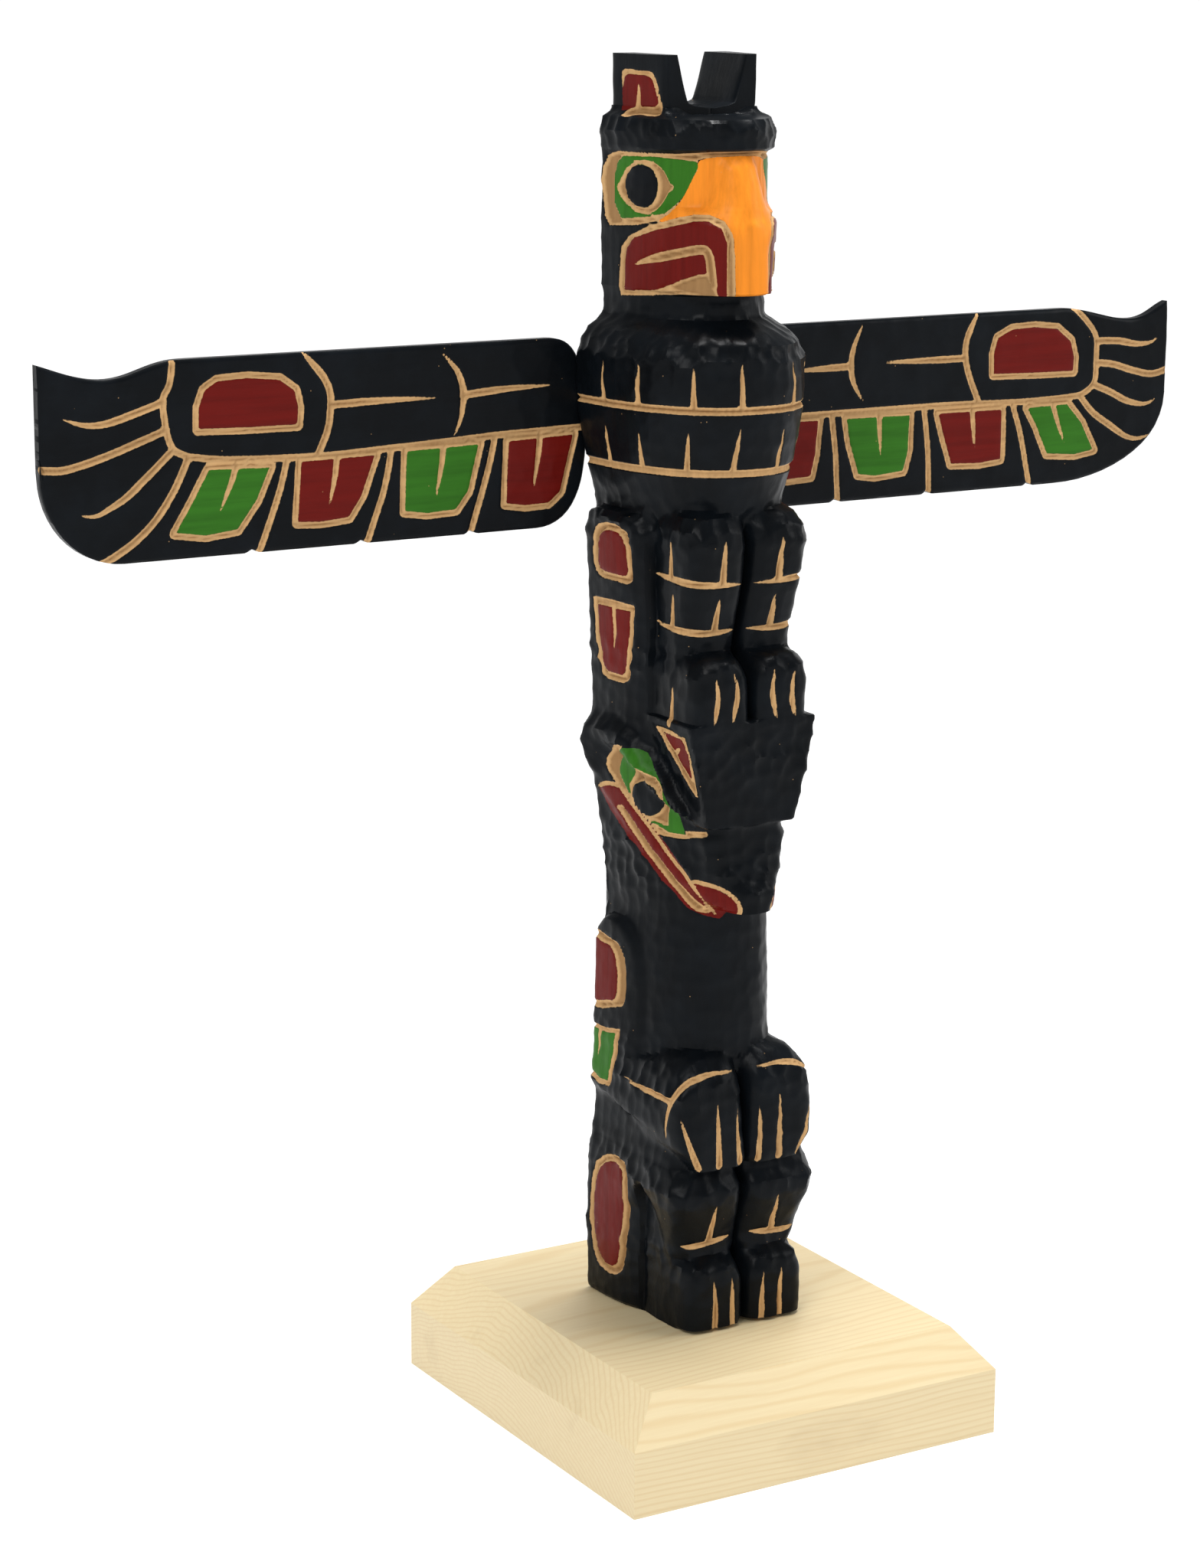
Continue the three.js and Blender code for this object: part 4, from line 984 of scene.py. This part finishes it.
# A board's face is a grid: columns out along it, rows from its lower to its upper edge. Its depth is that of
# the front plane with grooves, rounded edge, scallops below the top edge and facets; walls close the board
def makeWing(name, figures, look):
    upper, lower = wingEdges(look, *figures["edges"])
    reach = figures["edges"][0]
    turn = np.linspace(0, 1, look["columns"])
    bunched = turn - 0.09 * np.sin(2 * np.pi * turn) / 2 - 0.06 * np.sin(4 * np.pi * turn) / 4
    out = look["inner"] + (reach - look["inner"]) * bunched
    out[0] += 0.05
    high, low = np.interp(out, upper[:, 0], upper[:, 1]), np.interp(out, lower[:, 0], lower[:, 1])
    across = np.repeat(out[None], look["rows"], 0)
    height = low + (high - low) * np.linspace(0, 1, look["rows"])[:, None]
    settled = wingPaints(figures, look, across.ravel(), height.ravel())
    groove = np.minimum(np.clip(-settled["tan"], 0, None) * look["grooveSlope"], look["grooveDepth"])
    toEdge = np.abs(outlineDistance(across, height, np.vstack([upper, lower[::-1]])))
    rounded = look["edgeRound"] * np.clip(1 - toEdge / look["edgeRound"], 0, 1) ** 2
    facets = knifeFacets(np.stack([across, 0 * across, height], -1), look["facetCell"], reach)
    facets = np.clip(facets, 0, look["facetLimit"])
    scallop = look["scallopWidth"] * (0.55 + 0.35 * wavy(across, across * 0, 24.0, 4)) - (high - height)
    scallop = look["scallopDepth"] * np.clip(scallop / look["scallopWidth"], 0, 1)
    front = look["front"] + groove.reshape(across.shape) + rounded * 0.7 + scallop
    front = front - facets * look["frontFacets"] + look["frontInset"]
    back = look["front"] + look["thickness"] - rounded * 0.7 - look["backInset"] - facets * look["backFacets"]
    x = figures["side"] * across
    vertices = np.vstack([np.stack([x, depth, height], 2).reshape(-1, 3) for depth in (front, back)])
    count = across.size
    index = np.arange(count).reshape(across.shape)
    faces = gridQuads(index)
    rim = np.concatenate([index[0, :], index[1:, -1], index[-1, -2::-1], index[-2:0:-1, 0]])
    following = np.roll(rim, -1)
    walls = np.stack([following, rim, rim + count, following + count], 1)
    quads = np.vstack([faces, faces[:, ::-1] + count, walls])
    quads, none = facingOut(vertices, quads, np.zeros((0, 3), int))
    shown = {key: np.concatenate([settled[key], np.full(count, unpainted)]) for key in wingPaintNames}
    piece = makePiece(name + "Board", vertices, quads, none, shown, wingMaterial, 40)
    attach(piece, "root")
    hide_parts(name)
    print(name, "made,", 2 * len(quads), "triangles")


makeWing("right_wing", rightWing, wing)
makeWing("left_wing", leftWing, wing)

# Base board: the CAD piece with a cedar finish
cedar = boardMaterial(boardLook)
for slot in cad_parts["base_board"].material_slots:
    slot.material = cedar
print("base board finished")

# Floor, light and camera; a light is its place, the side of its square and its power
studio = {
    "floorColour": (0.3, 0.3, 0.3), "floorRoughness": 0.7, "floorGlow": 0.9,
    "floorReach": 60, "floorFlat": 8.0, "floorRise": 0.3, "worldStrength": 0.34, "aimHeight": 0.4,
    "key": ((-1.5, -0.9, 2.2), 0.9, 20.0), "fill": ((1.8, -1.1, 1.5), 0.9, 9.0),
    "top": ((0.3, 0.1, 2.3), 0.65, 42.0),
}


# Floor: pale and plain, flat round the object and rising by a share of the distance past the flat part
def makeFloor(look):
    steps = np.linspace(-look["floorReach"], look["floorReach"], 61)
    x, y = np.meshgrid(steps, steps)
    height = look["floorRise"] * np.clip(np.hypot(x, y) - look["floorFlat"], 0, None)
    quads = gridQuads(np.arange(x.size).reshape(x.shape))
    mesh = bpy.data.meshes.new("floor")
    mesh.from_pydata(np.stack([x, y, height], 2).reshape(-1, 3).tolist(), [], quads.tolist())
    material, tree, shader = newMaterial("paleFloor")
    shader.inputs["Base Color"].default_value = (*look["floorColour"], 1)
    shader.inputs["Roughness"].default_value = look["floorRoughness"]
    shader.inputs["Emission Color"].default_value = (1, 1, 1, 1)
    shader.inputs["Emission Strength"].default_value = look["floorGlow"]
    mesh.materials.append(material)
    floor = bpy.data.objects.new("floor", mesh)
    bpy.context.scene.collection.objects.link(floor)


makeFloor(studio)
world = bpy.data.worlds.new("studioLight")
world.use_nodes = True
background = world.node_tree.nodes["Background"]
background.inputs[0].default_value = (1, 1, 1, 1)
background.inputs[1].default_value = studio["worldStrength"]
bpy.context.scene.world = world


# A square soft light at a place, turned towards the middle of the object
def softLight(name, place, size, power):
    light = bpy.data.lights.new(name, "AREA")
    light.shape, light.size, light.energy = "SQUARE", size, power
    lamp = bpy.data.objects.new(name, light)
    toMiddle = np.array([0, 0, studio["aimHeight"]]) - np.array(place)
    lamp.location = place
    lamp.rotation_euler = (math.atan2(math.hypot(toMiddle[0], toMiddle[1]), -toMiddle[2]), 0,
                           math.atan2(toMiddle[1], toMiddle[0]) - math.pi / 2)
    bpy.context.scene.collection.objects.link(lamp)


for name in ("key", "fill", "top"):
    softLight(name + "Light", *studio[name])

# Camera: the photograph's view, 36 mm sensor on the tall side
view = {
    "turn": -30.711, "rise": 13.051, "roll": 0.333, "away": 2.04155, "aside": -0.057481, "height": 0.362675,
    "lens": 84.475,
}
turn, rise, roll = (math.radians(view[key]) for key in ("turn", "rise", "roll"))
back = np.array([math.sin(turn) * math.cos(rise), -math.cos(turn) * math.cos(rise), math.sin(rise)])
level = np.array([math.cos(turn), math.sin(turn), 0.0])
over = np.cross(back, level)
right, up = math.cos(roll) * level + math.sin(roll) * over, math.cos(roll) * over - math.sin(roll) * level
cameraData = bpy.data.cameras.new("photoView")
cameraData.lens, cameraData.sensor_width, cameraData.sensor_height = view["lens"], 36, 36
cameraData.sensor_fit = "AUTO"
cameraData.clip_end = 200
camera = bpy.data.objects.new("photoView", cameraData)
place = np.array([0, 0, view["height"]]) + level * view["aside"] + back * view["away"]
matrix = [[right[n], up[n], back[n], place[n]] for n in range(3)] + [[0, 0, 0, 1]]
camera.matrix_world = Matrix(matrix)
bpy.context.scene.collection.objects.link(camera)
bpy.context.scene.camera = camera
bpy.context.scene.view_settings.view_transform = "Standard"
print("stage, lights and camera set")
